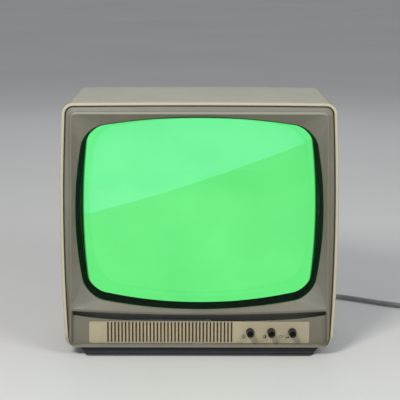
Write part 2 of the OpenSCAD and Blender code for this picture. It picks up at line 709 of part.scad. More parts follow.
// Tapered knob with a wider foot, a shallow dish in its end and a blind hole for the shaft
module knob(x) difference() {
    translate([x, -150, knob_z]) rotate([-90, 0, 0]) rotate_extrude()
        polygon([
            [0, 0.3], [2.6, 0.3], [3, 0], [3.3, 0], [3.6, 0.3], [knob_d / 2 - 0.3, 9.5],
            [knob_d / 2 - 0.1, 9.8], [knob_d / 2, 11.3], [0, 11.3]]);
    rod([x, -147, knob_z], 10, shaft_d / 2);
}
module brightness_knob() color([0.06, 0.06, 0.06]) knob(knob_x[0]);
module contrast_knob() color([0.06, 0.06, 0.06]) knob(knob_x[1]);
module volume_knob() color([0.06, 0.06, 0.06]) knob(knob_x[2]);

// ---- loudspeaker ----

speaker_at = [-32, flange_y + flange_t, 26.5];
function oval(half, steps = 32) =
    [for (i = [0:steps - 1]) [half.x * cos(360 * i / steps), half.y * sin(360 * i / steps)]];
function oval_ring(half, y) =
    [for (p = oval(half)) [speaker_at.x + p.x, speaker_at.y + y, speaker_at.z + p.y]];

module speaker_frame() color([0.35, 0.35, 0.36]) translate([speaker_at.x, 0, speaker_at.z]) difference() {
    union() {
        slab(speaker_at.y, speaker_at.y + 1.5) square([90, 25], center = true);
        slab(speaker_at.y + 1.5, speaker_at.y + 14) polygon(oval([41, 11.2]));
    }
    slab(speaker_at.y - cut, speaker_at.y + 12.8) polygon(oval([39.8, 10]));
    slab(speaker_at.y + 11, speaker_at.y + 15) circle(r = 8);
    for (side = [-1, 1])
        slab(speaker_at.y + 11, speaker_at.y + 15) translate([side * 22, 0]) square([16, 9], center = true);
}
module speaker_cone() color([0.15, 0.14, 0.13]) {
    loft([
        oval_ring([39.3, 9.5], 2), oval_ring([39.3, 9.5], 3), oval_ring([6.3, 6.2], 10),
        oval_ring([5.9, 5.8], 10), oval_ring([35, 8], 2.6), oval_ring([37, 8.6], 2)], closed = true);
    translate([speaker_at.x, speaker_at.y + 9.5, speaker_at.z]) rotate([-90, 0, 0]) difference() {
        cylinder(h = 9, r = 6.3);
        translate([0, 0, -cut]) cylinder(h = 12, r = 5.8);
    }
}
module speaker_magnet() color([0.25, 0.25, 0.26]) translate([speaker_at.x, speaker_at.y + 14, speaker_at.z])
    rotate([-90, 0, 0]) difference() {
        cylinder(h = 11, r = 12);
        difference() {
            translate([0, 0, -cut]) cylinder(h = 7 + cut, r = 6.9);
            translate([0, 0, -2 * cut]) cylinder(h = 12, r = 5.2);
        }
    }

// ---- rear sockets, wiring and mains lead ----

module signal_jacks() color([0.8, 0.78, 0.7]) difference() {
    union() {
        span([jack_x - 12, back_y - wall - 1.6, 56], [jack_x + 12, back_y - wall, 112]);
        for (z = jack_z) {
            rod([jack_x, back_y - wall - 14, z], 14 + wall, jack_body_r);
            rod([jack_x, back_y, z], jack_len, jack_r);
        }
    }
    for (z = jack_z) rod([jack_x, back_y - 4, z], 20, 1.65);
}

module wiring_harness() color([0.3, 0.3, 0.32]) {
    // To the neck board, the yoke, the control board, the loudspeaker, the sockets and the mains lead
    tube_along([
        [27, 70, deck + 7], [28, 74, 50], [30, 90, 90], [24, 108, 118], [20, 119, 134], [20, 129, 136]],
        4, ref = [1, 0, 0]);
    tube_along([[50, 75, deck + 7], [50, 72, 50], [46, 60, 80], [38, 40, 110], [30, 22, 124]],
        4, ref = [1, 0, 0]);
    tube_along([
        [54, -90, deck + 7], [54, -92, 36], [54, -98, 41], [55, -107, 40],
        [55, control_board_y + board_t, 35]],
        4, ref = [1, 0, 0]);
    tube_along([
        [-45, -90, deck + 7], [-45, -94, 38], [-38, -98, 34], [-32, -102, 30], [-32, speaker_at.y + 25, 30]],
        3, ref = [1, 0, 0]);
    tube_along([
        [jack_x, back_y - wall - 14, 84], [-122, 6, 76], [-112, 4, 52], [-98, 6, 40], [-85, 6, deck + 7]],
        3, ref = [0, 1, 0.2]);
    tube_along([
        [gland.x, back_y - wall - 4, gland.z], [123, 18, 31], [112, 14, 35], [98, 15, 38], [88, 24, 38],
        [85, 31, 36], [85, 36, deck + 7]],
        5, ref = [0, 0.2, 1]);
}

module strain_relief() color([0.14, 0.14, 0.14]) translate([gland.x, 0, gland.z]) rotate([-90, 0, 0]) {
    rotate_extrude() polygon([
        [0, back_y - wall - 4], [8, back_y - wall - 4], [8, back_y - wall], [gland_r, back_y - wall],
        [gland_r, back_y],
        [8, back_y], [8, back_y + 2.5], [5.6, back_y + 3], [3.7, relief_end], [0, relief_end]]);
}
module mains_cord() color([0.55, 0.55, 0.55]) {
    tube_along(CORD_ROUTE, cord_d, cord_sides, ref = [0.1, 0.1, 1]);
    tube_along(TAIL_ROUTE, cord_d, cord_sides);
}
module cord_coil() color([0.55, 0.55, 0.55]) translate([coil_centre.x, coil_centre.y, 0]) rotate_extrude()
    translate([coil_mid_d / 2 - coil_turns_w * cord_d / 2, 0]) square([coil_turns_w * cord_d, coil_h]);
module mains_plug() color([0.12, 0.12, 0.12])
    translate([plug_x, plug_y, 0]) rotate([90, 0, 0]) linear_extrude(plug_size.y) polygon([
        [-plug_size.x / 2, plug_size.z / 2], [-plug_size.x / 2 + 6, 0], [plug_size.x / 2 - 6, 0],
        [plug_size.x / 2, plug_size.z / 2], [plug_size.x / 2 - 6, plug_size.z],
        [-plug_size.x / 2 + 6, plug_size.z]]);
module plug_pins() color([0.85, 0.8, 0.6]) for (side = [-1, 1])
    rod([plug_x + side * pin_gap / 2, plug_y - plug_size.y - pin_len, plug_size.z / 2], pin_len, pin_d / 2);

front_bezel();
rear_cover();
control_fascia();
screen_mask();
plinth();
rubber_feet();
crt_faceplate();
phosphor_screen();
crt_funnel();
crt_neck();
crt_base();
electron_gun();
tension_band();
assembly_screws();
anode_cap();
anode_lead();
ground_braid();
yoke_liner();
yoke_core();
line_coils();
frame_coils();
yoke_clamp();
centring_ring_front();
centring_ring_rear();
neck_socket();
neck_board();
main_board();
chassis_rails();
transformer_core();
transformer_winding();
flyback_transformer();
heatsink();
semiconductors();
electrolytic_capacitors();
film_capacitors();
resistors();
connectors();
trimmer_bodies();
v_hold_shaft();
height_shaft();
h_hold_shaft();
control_board();
pot_bodies();
power_switch();
brightness_shaft();
contrast_shaft();
volume_shaft();
brightness_knob();
contrast_knob();
volume_knob();
speaker_frame();
speaker_cone();
speaker_magnet();
signal_jacks();
wiring_harness();
strain_relief();
mains_cord();
cord_coil();
mains_plug();
plug_pins();
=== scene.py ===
"""Looks of the video monitor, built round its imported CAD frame.

Lengths are in millimetres until a mesh is made. Meshes and the places of lamps are in metres. +X is
right, -Y is towards the viewer and +Z is up, with the origin on the table under the cabinet's middle.
"""
import math

import bmesh
import bpy
import numpy as np
from mathutils import Matrix, Vector


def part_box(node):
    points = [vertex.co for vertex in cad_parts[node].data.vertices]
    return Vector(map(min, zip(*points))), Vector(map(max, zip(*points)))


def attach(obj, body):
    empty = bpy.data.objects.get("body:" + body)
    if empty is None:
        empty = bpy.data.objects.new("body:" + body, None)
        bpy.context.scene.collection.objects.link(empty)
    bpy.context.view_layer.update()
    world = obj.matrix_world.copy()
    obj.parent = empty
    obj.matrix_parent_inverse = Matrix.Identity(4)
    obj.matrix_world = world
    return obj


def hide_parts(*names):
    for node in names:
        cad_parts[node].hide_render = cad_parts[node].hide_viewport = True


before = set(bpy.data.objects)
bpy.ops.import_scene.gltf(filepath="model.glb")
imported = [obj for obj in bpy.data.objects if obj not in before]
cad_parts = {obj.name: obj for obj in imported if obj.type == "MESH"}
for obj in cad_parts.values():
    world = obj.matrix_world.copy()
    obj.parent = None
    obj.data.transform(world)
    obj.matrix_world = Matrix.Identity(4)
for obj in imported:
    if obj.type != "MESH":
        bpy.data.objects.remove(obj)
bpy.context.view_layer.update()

MM = 0.001
BODY = "monitor"
# Edges that turn by more degrees than this stay sharp
SHARP = 38


def box_mm(node):
    """Lowest and highest corner of a CAD node, in millimetres."""
    low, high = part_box(node)
    return np.array(low) / MM, np.array(high) / MM


# ---- sizes: places come from the frame, shapes from the numbers beside them ----

COVER_LOW, COVER_HIGH = box_mm("rear_cover")
FASCIA_FACE = box_mm("control_fascia")[0][1]
FACE_LOW, FACE_HIGH = box_mm("crt_faceplate")
PLINTH_LOW, PLINTH_HIGH = box_mm("plinth")
RELIEF_LOW, RELIEF_HIGH = box_mm("strain_relief")
PLUG_LOW, PLUG_HIGH = box_mm("mains_plug")
PINS_LOW, PINS_HIGH = box_mm("plug_pins")

HALF_W = COVER_HIGH[0]
BOTTOM = COVER_LOW[2]
CROWN = 1.0
TOP = COVER_HIGH[2] - CROWN
FRONT = COVER_LOW[1]
# The sockets' barrels stand out this far behind the main box
JACK_REACH = 9.0
BACK = box_mm("signal_jacks")[1][1] - JACK_REACH
HUMP_BACK = COVER_HIGH[1]
MID_Z = (TOP + BOTTOM) / 2
HALF_H = (TOP - BOTTOM) / 2
CORNER_R = 11.5
DRAFT = 1.7
SIDE_BOW = 3.9
WALL = 3.0
RIM = 3.4
SEAM = 1.2
SET_BACK = 12.0

TUBE_Z = (FACE_LOW[2] + FACE_HIGH[2]) / 2
FACE_R = 600.0
FACE_Y = FACE_LOW[1]
GLASS_T = 8.0

OPENING = dict(half=(134.2, 105.9), r=19.6, bow=(0.086, 0.139))
OPENING_RAISE = 1.3
GLASS = dict(half=(136.5, 111.5), r=25.0, bow=(0.06, 0.094))
GLASS_SIDE = 6.0
PHOSPHOR = dict(half=(127.3, 103.2), r=17.5, bow=(0.051, 0.103))
PHOSPHOR_EDGE = 1.0
# Line on the screen above which the phosphor carries a painted reflection of the window: its height in the
# middle and its slope
PAINTED_WINDOW_LINE_Z = 195.0
PAINTED_WINDOW_LINE_SLOPE = 0.33
# Where a ray from the viewer that the glass mirrors leaves the opening: wider and lower than it came in.
# These place the painted reflection on the phosphor
MIRROR_SPREAD = (1.093, 1.081)
MIRROR_DROP = 4.0
# Shares of the way to the opening's edge between which the phosphor turns paler with a painted reflection
PAINTED_REFLECTION_BORDER = (0.978, 1.003)
OPENING_DOME = (-145.5, 1200.0)
FACE_DOME = (FACE_Y, FACE_R)

RECESS_Y = -138.0
RECESS_HALF = 136.6
CREST_HALF = 138.1
CREST_TOP = 268.9
DISH_TOP = 266.8
SKIRT_END = -112
# The bezel's crest stands wider apart towards its foot: widths hold at this height
FLARE = 0.00011
FLARE_Z = 240.0
RECESS_FLOOR = 13.2
FASCIA_BACK = -135.3
STRIP_HALF = 120.8
STRIP_HEAD = 37.8
LIP_Z = 46.7
LIP_RISE = 4.0
# Hollow behind the lip, over the control strip
CAVE_FLOOR_Z = 38.4
CAVE_RISE = 6.6
CAVE_BACK = -129.0

PLINTH_NARROW = 124.6
PLINTH_LIFT = 0.6

CORNER_STEPS = 14
SIDE_STEPS = 28
QUADRANTS = ((1, 1), (-1, 1), (-1, -1), (1, -1))


# ---- outlines, drawn in X and Z ----

def arc(centre, r, start, end, steps):
    """Points on an arc, anticlockwise between two angles in degrees."""
    a = np.radians(np.linspace(start, end, steps + 1))
    return np.array(centre) + r * np.stack((np.cos(a), np.sin(a)), 1)


def circle(centre, r, steps=32):
    return arc(centre, r, 0, 360, steps)[:-1]


def bend(start, corner, end, steps):
    """Points along the curve that rounds off a corner."""
    return [
        (1 - s) ** 2 * start + 2 * s * (1 - s) * corner + s * s * end
        for s in np.linspace(0, 1, steps + 1)]


def rounded(low, high, radii):
    """Rectangle with rounded corners, anticlockwise from its right-hand side."""
    low, high = np.array(low, float), np.array(high, float)
    radii = np.broadcast_to(radii, 4)
    arcs = []
    for q, signs in enumerate(QUADRANTS):
        r = radii[q]
        centre = np.where(np.array(signs) > 0, high - r, low + r)
        arcs.append(arc(centre, r, 90 * q, 90 * q + 90, CORNER_STEPS))
    share = np.arange(1, SIDE_STEPS)[:, None] / SIDE_STEPS
    points = []
    for corner, following in zip(arcs, arcs[1:] + arcs[:1]):
        points += [corner, corner[-1] + (following[0] - corner[-1]) * share]
    return np.concatenate(points)


def bowed(half, r, bow, grow=0.0):
    """Rounded rectangle whose sides bow outward by a share of their half-width."""
    hw, hh = (half[k] / (1 + bow[k]) + grow for k in (0, 1))
    p = rounded((-hw, -hh), (hw, hh), r + grow)
    x = p[:, 0] * (1 + bow[0] * (1 - (p[:, 1] / hh) ** 2))
    z = p[:, 1] * (1 + bow[1] * (1 - (p[:, 0] / hw) ** 2))
    return np.stack((x, z), 1)


def smooth(t):
    t = np.clip(t, 0, 1)
    return t * t * (3 - 2 * t)


def cabinet_outline():
    p = bowed((HALF_W, HALF_H), CORNER_R, (SIDE_BOW / (HALF_W - SIDE_BOW), 0))
    crown = CROWN * (1 - np.minimum(1, (p[:, 0] / (HALF_W - SIDE_BOW)) ** 2))
    p[:, 1] += MID_Z + np.where(p[:, 1] > 0, crown * p[:, 1] / HALF_H, 0)
    return p


def outward(points):
    """Unit normals of a closed anticlockwise outline."""
    along = np.roll(points, -1, 0) - np.roll(points, 1, 0)
    n = np.stack((along[:, 1], -along[:, 0]), 1)
    return n / np.linalg.norm(n, axis=1)[:, None]


CABINET = cabinet_outline()
CABINET_OUT = outward(CABINET)
BELOW = BOTTOM + CORNER_R - CABINET[:, 1]
BESIDE = np.abs(CABINET[:, 0]) - (HALF_W - SIDE_BOW - CORNER_R)
# Angle round the bottom corners: 0 beside the cabinet, 90 below it
CORNER_TURN = np.where(BELOW > 0, np.degrees(np.arctan2(BELOW, np.maximum(BESIDE, 1e-6))), 0)
# Share of the front rim that is left, and share of its front edge that is set back
RIM_LEFT = 1 - smooth((CORNER_TURN - 8) / 76)
RIM_BACK = smooth((CORNER_TURN - 84) / 6)


def lay(points, y):
    """Lift an outline to a depth, one number or one for each point."""
    return np.stack((points[:, 0], np.broadcast_to(y, len(points)), points[:, 1]), 1)


def cabinet_ring(inset, y):
    return lay(CABINET - CABINET_OUT * np.broadcast_to(inset, len(CABINET))[:, None], y)


def hump_ring(inset, y):
    """Rear housing outline: it narrows and its top falls towards the back."""
    t = (y - BACK) / (HUMP_BACK - BACK)
    hw = 100 - 4 * t - inset
    return lay(rounded((-hw, 12 + inset), (hw, 236 - 8 * t - inset), 14 - inset), y)


def on_dome(points, dome, back=0.0):
    """Lay an outline about the tube's axis on a dome whose middle is at dome[0]."""
    apex, r = dome
    return lay(points + (0, TUBE_Z), apex + back + r - np.sqrt(r * r - (points ** 2).sum(1)))


def opening_ring(back, grow=0.0, dome=OPENING_DOME):
    return on_dome(bowed(**OPENING, grow=grow), dome, back) + (0, 0, OPENING_RAISE)


def flared(points):
    wider = 1 + FLARE * (FLARE_Z - points[:, 1])
    return np.stack((points[:, 0] * wider, points[:, 1]), 1)


# ---- mesh making ----

def add_object(name, data):
    made = bpy.data.objects.new(name, data)
    bpy.context.scene.collection.objects.link(made)
    return made


def filleted(stations, radii, steps=4):
    """The stations, with each inner one turned into a smooth bend of about that radius."""
    rings = [stations[0]]
    for before, here, after, r in zip(stations, stations[1:], stations[2:], radii):
        if r == 0:
            rings.append(here)
            continue
        back, on = before - here, after - here
        back_len, on_len = (np.maximum(np.linalg.norm(v, axis=1), 1e-9) for v in (back, on))
        reach = np.minimum(r, 0.45 * np.minimum(back_len, on_len))
        start, end = here + back * (reach / back_len)[:, None], here + on * (reach / on_len)[:, None]
        rings += bend(start, here, end, steps)
    return rings + [stations[-1]]


class Shell:
    """Vertices and faces gathered part by part, in millimetres."""

    def __init__(self):
        self.points = []
        self.faces = []
        self.slots = []

    def add(self, points, faces, slot=0):
        first = len(self.points)
        self.points += [tuple(p) for p in points]
        self.faces += [[first + i for i in face] for face in faces]
        self.slots += [slot] * len(faces)
        return self

    def loft(self, rings, closed=False, slot=0):
        n, m = len(rings[0]), len(rings)
        faces = []
        for k in range(m if closed else m - 1):
            a, b = k * n, (k + 1) % m * n
            faces += [(a + i, a + (i + 1) % n, b + (i + 1) % n, b + i) for i in range(n)]
        return self.add(np.concatenate(rings), faces, slot)

    def cap(self, ring, slot=0):
        return self.add(ring, [range(len(ring))], slot)

    def solid(self, rings, slot=0):
        """Loft that is capped at both ends."""
        return self.loft(rings, slot=slot).cap(rings[0], slot).cap(rings[-1], slot)

    def fill(self, rings):
        """Flat face between an outer ring and the rings of its holes."""
        work = bmesh.new()
        edges = []
        for ring in rings:
            row = [work.verts.new(p) for p in ring]
            edges += [work.edges.new((a, b)) for a, b in zip(row, row[1:] + row[:1])]
        bmesh.ops.triangle_fill(work, use_beauty=True, edges=edges)
        work.verts.index_update()
        self.add([v.co for v in work.verts], [[v.index for v in f.verts] for f in work.faces])
        work.free()
        return self

    def build(self, name, *materials, sharp=SHARP, body=BODY):
        """Weld it into one object in metres, smooth but for edges over the sharp angle."""
        mesh = bpy.data.meshes.new(name)
        mesh.from_pydata([Vector(p) * MM for p in self.points], [], self.faces)
        mesh.polygons.foreach_set("material_index", self.slots)
        work = bmesh.new()
        work.from_mesh(mesh)
        bmesh.ops.remove_doubles(work, verts=work.verts, dist=2e-7)
        bmesh.ops.dissolve_degenerate(work, edges=work.edges, dist=1e-8)
        bmesh.ops.recalc_face_normals(work, faces=work.faces)
        work.to_mesh(mesh)
        work.free()
        piece = add_object(name, mesh)
        for m in materials:
            mesh.materials.append(m)
        shade(piece, sharp)
        if body:
            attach(piece, body)
        return piece


def shade(piece, sharp):
    piece.data.shade_smooth()
    piece.data.set_sharp_from_angle(angle=math.radians(sharp))
    piece.modifiers.new("weighted", "WEIGHTED_NORMAL").keep_sharp = True


def cut(piece, cutter):
    """Cut a closed mesh out of a piece, for good."""
    piece.modifiers.clear()
    knife = piece.modifiers.new("cut", "BOOLEAN")
    knife.operation = "DIFFERENCE"
    knife.solver = "EXACT"
    knife.object = cutter
    bpy.context.view_layer.update()
    made = bpy.data.meshes.new_from_object(piece.evaluated_get(bpy.context.evaluated_depsgraph_get()))
    piece.modifiers.clear()
    old, piece.data = piece.data, made
    bpy.data.meshes.remove(old)
    bpy.data.objects.remove(cutter)
    shade(piece, SHARP)


def stadium(low, high, steps=8):
    """Slot outline with round ends, inside the box from low to high."""
    low, high = np.array(low, float), np.array(high, float)
    size = high - low
    r = min(size) / 2
    lead = 1 if size[1] > size[0] else 0
    ends = []
    for side, centre in ((1, high - r), (-1, low + r)):
        start = 90 * lead - 90 * side
        ends.append(arc(centre, r, start, start + 180, steps))
    return np.concatenate(ends)


def prism(shell, outline, y0, y1):
    """Closed prism of an X-Z outline between two depths."""
    return shell.solid([lay(outline, y0), lay(outline, y1)])


def lathe(shell, profile, centre, steps=48, slot=0):
    """Closed solid turned about a line along Y, from points of radius and depth that begin and end on it."""
    return shell.solid([lay(circle(centre, max(r, 1e-3), steps), y) for r, y in profile], slot)


# ---- materials ----

def srgb(*levels):
    """Linear colour of sRGB levels from 0 to 255."""
    shares = [level / 255 for level in levels]
    return tuple(c / 12.92 if c <= 0.04045 else ((c + 0.055) / 1.055) ** 2.4 for c in shares)


MATERIALS = {}


class Paint:
    """A node material on one Principled shader, with object coordinates in metres."""

    def __init__(self, name):
        self.material = MATERIALS[name] = bpy.data.materials.new(name)
        self.material.use_nodes = True
        self.nodes = self.material.node_tree.nodes
        self.links = self.material.node_tree.links
        self.shader = self.nodes["Principled BSDF"]
        self.place = self.nodes.new("ShaderNodeTexCoord").outputs["Object"]

    def join(self, output, target):
        self.links.new(output, target)

    def feed(self, value, target):
        """Give a socket another one's output, a colour or a number."""
        if isinstance(value, bpy.types.NodeSocket):
            self.join(value, target)
        else:
            target.default_value = (*value, 1) if isinstance(value, tuple) else value

    def noise(self, scale, detail=2.0, rough=0.5):
        node = self.nodes.new("ShaderNodeTexNoise")
        node.inputs["Scale"].default_value = scale
        node.inputs["Detail"].default_value = detail
        node.inputs["Roughness"].default_value = rough
        self.join(self.place, node.inputs["Vector"])
        return node.outputs["Fac"]

    def wave(self, scale, axis, distortion=0.0):
        node = self.nodes.new("ShaderNodeTexWave")
        node.bands_direction = axis
        node.inputs["Scale"].default_value = scale
        node.inputs["Distortion"].default_value = distortion
        self.join(self.place, node.inputs["Vector"])
        return node.outputs["Fac"]

    def runs(self, pitch, axis, distortion=0.0):
        """Bands across an axis with this many millimetres from each to the next."""
        # A wave texture repeats after pi / (10 * scale)
        return self.wave(math.pi / (10 * pitch * MM), axis, distortion)

    def ramp(self, output, low, high, dark, light):
        """Colour that goes from dark to light as the value goes from low to high."""
        node = self.nodes.new("ShaderNodeValToRGB")
        for stop, position, colour in zip(node.color_ramp.elements, (low, high), (dark, light)):
            stop.position = position
            stop.color = (*colour, 1)
        self.join(output, node.inputs["Fac"])
        return node.outputs["Color"]

    def spread(self, output, start, end, low, high):
        """The value that goes from low to high while the given one goes from start to end."""
        node = self.nodes.new("ShaderNodeMapRange")
        for socket, value in (("From Min", start), ("From Max", end), ("To Min", low), ("To Max", high)):
            self.feed(value, node.inputs[socket])
        self.join(output, node.inputs["Value"])
        return node.outputs["Result"]

    def span(self, output, low, high):
        return self.spread(output, 0.0, 1.0, low, high)

    def blend(self, share, a, b):
        node = self.nodes.new("ShaderNodeMix")
        node.data_type = "RGBA"
        # A Mix node's colour sockets stand after its number and vector sockets
        for socket, value in ((0, share), (6, a), (7, b)):
            self.feed(value, node.inputs[socket])
        return node.outputs[2]

    def bump(self, output, depth):
        node = self.nodes.new("ShaderNodeBump")
        node.inputs["Distance"].default_value = depth * MM
        self.join(output, node.inputs["Height"])
        self.join(node.outputs["Normal"], self.shader.inputs["Normal"])

    def math(self, operation, *values):
        node = self.nodes.new("ShaderNodeMath")
        node.operation = operation
        for socket, value in zip(node.inputs, values):
            self.feed(value, socket)
        return node.outputs[0]

    def axes(self):
        """The place's X, Y and Z."""
        node = self.nodes.new("ShaderNodeSeparateXYZ")
        self.join(self.place, node.inputs["Vector"])
        return node.outputs

    def colour(self, output):
        self.join(output, self.shader.inputs["Base Color"])

    def rough(self, output, low, high):
        self.join(self.span(output, low, high), self.shader.inputs["Roughness"])

    def set(self, **sockets):
        for name, value in sockets.items():
            self.shader.inputs[name.replace("_", " ")].default_value = value


def finish(name, dark, light, rough, patch, grain, depth, painted_highlight=None, metal=0.0, **sockets):
    """Surface with patches of two near tints, uneven gloss and a fine moulded or cast grain. Where it stands
    foremost it carries a painted highlight: painted_highlight is that colour, how deep behind the front plane
    it fades out, the height that it starts at, and the height that it takes to come in."""
    paint = Paint(name)
    colour = paint.ramp(paint.noise(patch, 4), 0.32, 0.68, srgb(*dark), srgb(*light))
    if painted_highlight:
        # Painted highlight: a lighter colour on the foremost surface, from a given height up
        tint, deep, start, rise = painted_highlight
        _, y, z = paint.axes()
        high = paint.spread(z, start * MM, (start + rise) * MM, 0.0, 0.85)
        share = paint.spread(y, FRONT * MM, (FRONT + deep) * MM, high, 0.0)
        colour = paint.blend(share, colour, srgb(*tint))
    paint.colour(colour)
    paint.rough(paint.noise(patch * 3, 3), rough - 0.07, rough + 0.07)
    paint.bump(paint.noise(grain, 3, 0.6), depth)
    paint.set(Metallic=metal, **sockets)


def striped(name, dark, light, rough, pitch, axis, depth, metal=0.0, wobble=0.6):
    """Surface made of fine parallel runs, such as wound wire or stacked sheets."""
    paint = Paint(name)
    bands = paint.runs(pitch, axis, wobble)
    paint.colour(paint.ramp(bands, 0.15, 0.85, srgb(*dark), srgb(*light)))
    paint.rough(paint.noise(300, 2), rough - 0.06, rough + 0.06)
    paint.bump(bands, depth)
    paint.set(Metallic=metal)


def circuit_board():
    """Brown laminate with a lacquered pattern of copper tracks under it."""
    paint = Paint("circuit_board")
    cells = paint.nodes.new("ShaderNodeTexBrick")
    cells.inputs["Scale"].default_value = 60
    cells.inputs["Mortar Size"].default_value = 0.03
    for socket, tint in (("Color1", (132, 98, 46)), ("Color2", (120, 88, 42)), ("Mortar", (166, 132, 62))):
        cells.inputs[socket].default_value = (*srgb(*tint), 1)
    paint.join(paint.place, cells.inputs["Vector"])
    paint.colour(cells.outputs["Color"])
    paint.rough(paint.noise(120, 3), 0.35, 0.5)
    paint.bump(cells.outputs["Fac"], 0.05)


def cloth():
    """Brown plain-weave cloth of threads 0.4 mm apart."""
    paint = Paint("grille_cloth")
    weave = paint.math("MAXIMUM", *(paint.runs(0.4, axis, 0.4) for axis in ("X", "Z")))
    paint.colour(paint.ramp(weave, 0.3, 1.0, srgb(84, 68, 44), srgb(140, 118, 82)))
    paint.rough(paint.noise(400), 0.8, 0.95)
    paint.bump(weave, 0.1)


def braid():
    """Tinned copper braid: two crossing runs of fine strands."""
    paint = Paint("copper_braid")
    weave = paint.math("MULTIPLY", paint.wave(700, "DIAGONAL"), paint.wave(900, "X", 2.0))
    paint.colour(paint.ramp(weave, 0.1, 0.8, srgb(120, 84, 52), srgb(206, 160, 118)))
    paint.rough(paint.noise(500), 0.3, 0.45)
    paint.bump(weave, 0.3)
    paint.set(Metallic=0.9)


def face_glass():
    """Clear, faintly grey faceplate glass with a barely uneven polish."""
    paint = Paint("face_glass")
    paint.colour(paint.ramp(paint.noise(12, 2), 0.3, 0.7, srgb(222, 232, 226), srgb(232, 240, 234)))
    paint.rough(paint.noise(25, 3), 0.005, 0.02)
    paint.set(Transmission_Weight=1.0, IOR=1.5)


def phosphor(name, strength):
    """Green phosphor lit by an even raster. A painted reflection makes it paler in the border, where the
    bezel hides the glass's reflection of the window, and palest above the slanting line where that reflection
    ends."""
    paint = Paint(name)
    rows = paint.runs(0.7, "Z")
    glow = paint.ramp(paint.noise(9, 2), 0.3, 0.7, srgb(98, 241, 126), srgb(102, 245, 128))
    # Painted reflection: paler green above the window's line and in the border that the attribute marks
    x, _, z = paint.axes()
    height = paint.math("MULTIPLY_ADD", x, -PAINTED_WINDOW_LINE_SLOPE, z)
    above = paint.spread(height, (PAINTED_WINDOW_LINE_Z - 0.5) * MM, (PAINTED_WINDOW_LINE_Z + 0.5) * MM, 0.0, 1.0)
    painted_reflection = paint.blend(above, srgb(110, 247, 135), srgb(113, 255, 152))
    border = paint.nodes.new("ShaderNodeAttribute")
    border.attribute_name = "border"
    glow = paint.blend(paint.spread(border.outputs["Fac"], *PAINTED_REFLECTION_BORDER, 0.0, 1.0), glow, painted_reflection)
    lit = paint.blend(paint.span(rows, 0.0, 0.06), glow, srgb(80, 216, 102))
    paint.join(lit, paint.shader.inputs["Emission Color"])
    paint.set(Base_Color=(*srgb(40, 60, 44), 1), Roughness=0.7, Emission_Strength=strength)


# The bezel's top crest carries a painted highlight in a lighter grey
finish(
    "bezel_plastic", (104, 100, 86), (111, 107, 93), 0.5, 30, 1500, 0.03,
    painted_highlight=((143, 143, 127), 0.35, 266, 1.2))
# The cabinet's front rim, from 20 mm up, carries a painted highlight in a lighter cream
finish(
    "cabinet_plastic", (143, 143, 126), (150, 150, 132), 0.5, 22, 1300, 0.04,
    painted_highlight=((180, 172, 146), 1.8, 20, 6))
finish("fascia_plastic", (156, 147, 121), (165, 156, 129), 0.45, 40, 1500, 0.02)
finish("black_plastic", (3, 5, 4), (7, 9, 8), 0.7, 60, 1500, 0.02, Specular_IOR_Level=0.08)
finish("plinth_plastic", (24, 20, 21), (30, 26, 27), 0.5, 50, 1200, 0.05)
finish("rubber", (22, 22, 22), (34, 33, 32), 0.85, 90, 900, 0.08)
finish("tube_glass", (60, 66, 64), (78, 84, 80), 0.12, 20, 200, 0.01, Coat_Weight=0.4)
finish("aquadag", (26, 26, 28), (40, 40, 42), 0.7, 60, 700, 0.05)
finish("base_plastic", (44, 34, 26), (58, 46, 36), 0.5, 100, 1200, 0.03)
finish("steel", (150, 152, 154), (172, 174, 174), 0.34, 120, 900, 0.01, metal=1.0)
finish("gun_metal", (180, 180, 184), (206, 206, 210), 0.22, 200, 1200, 0.01, metal=1.0)
finish("ht_wire", (120, 24, 20), (146, 34, 26), 0.4, 150, 1500, 0.02)
finish("liner_plastic", (196, 194, 182), (212, 210, 200), 0.45, 80, 1300, 0.02)
finish("ferrite", (46, 46, 50), (62, 62, 66), 0.6, 160, 900, 0.08)
finish("magnet_plastic", (50, 48, 46), (66, 62, 58), 0.55, 120, 1200, 0.04)
finish("galvanised", (136, 142, 146), (176, 180, 182), 0.4, 180, 500, 0.02, metal=0.9)
finish("potting", (24, 24, 26), (38, 38, 40), 0.3, 90, 900, 0.04)
finish("aluminium", (178, 182, 186), (200, 202, 206), 0.38, 160, 1400, 0.02, metal=1.0)
finish("chip_black", (22, 22, 24), (34, 34, 36), 0.5, 200, 1500, 0.03)
finish("capacitor_sleeve", (30, 52, 104), (40, 64, 122), 0.35, 150, 1300, 0.01)
finish("film_dip", (176, 92, 24), (202, 112, 36), 0.3, 200, 900, 0.04)
finish("resistor_body", (176, 150, 104), (198, 172, 124), 0.5, 250, 1500, 0.02)
finish("connector_nylon", (212, 208, 190), (228, 224, 208), 0.5, 120, 1300, 0.02)
finish("trimmer_blue", (66, 78, 140), (82, 94, 158), 0.5, 160, 1300, 0.02)
finish("shaft_plastic", (30, 30, 31), (44, 44, 45), 0.4, 200, 1500, 0.02)
finish("shaft_metal", (176, 178, 180), (204, 204, 206), 0.25, 250, 1500, 0.01, metal=1.0)
finish("pot_metal", (150, 152, 154), (178, 178, 180), 0.36, 200, 1200, 0.01, metal=0.9)
finish("knob_plastic", (6, 6, 7), (11, 11, 12), 0.3, 250, 1500, 0.02, Specular_IOR_Level=0.2)
finish("speaker_steel", (90, 92, 94), (112, 112, 114), 0.5, 120, 1100, 0.02, metal=0.7)
finish("cone_paper", (34, 31, 28), (48, 44, 40), 0.9, 250, 1500, 0.1)
finish("magnet_steel", (56, 57, 60), (74, 75, 78), 0.55, 140, 800, 0.04)
finish("jack_metal", (196, 190, 172), (218, 212, 196), 0.24, 250, 1400, 0.01, metal=1.0)
finish("harness_wire", (62, 62, 68), (84, 84, 92), 0.4, 200, 1500, 0.02)
finish("relief_rubber", (24, 24, 25), (34, 34, 35), 0.6, 160, 1300, 0.04)
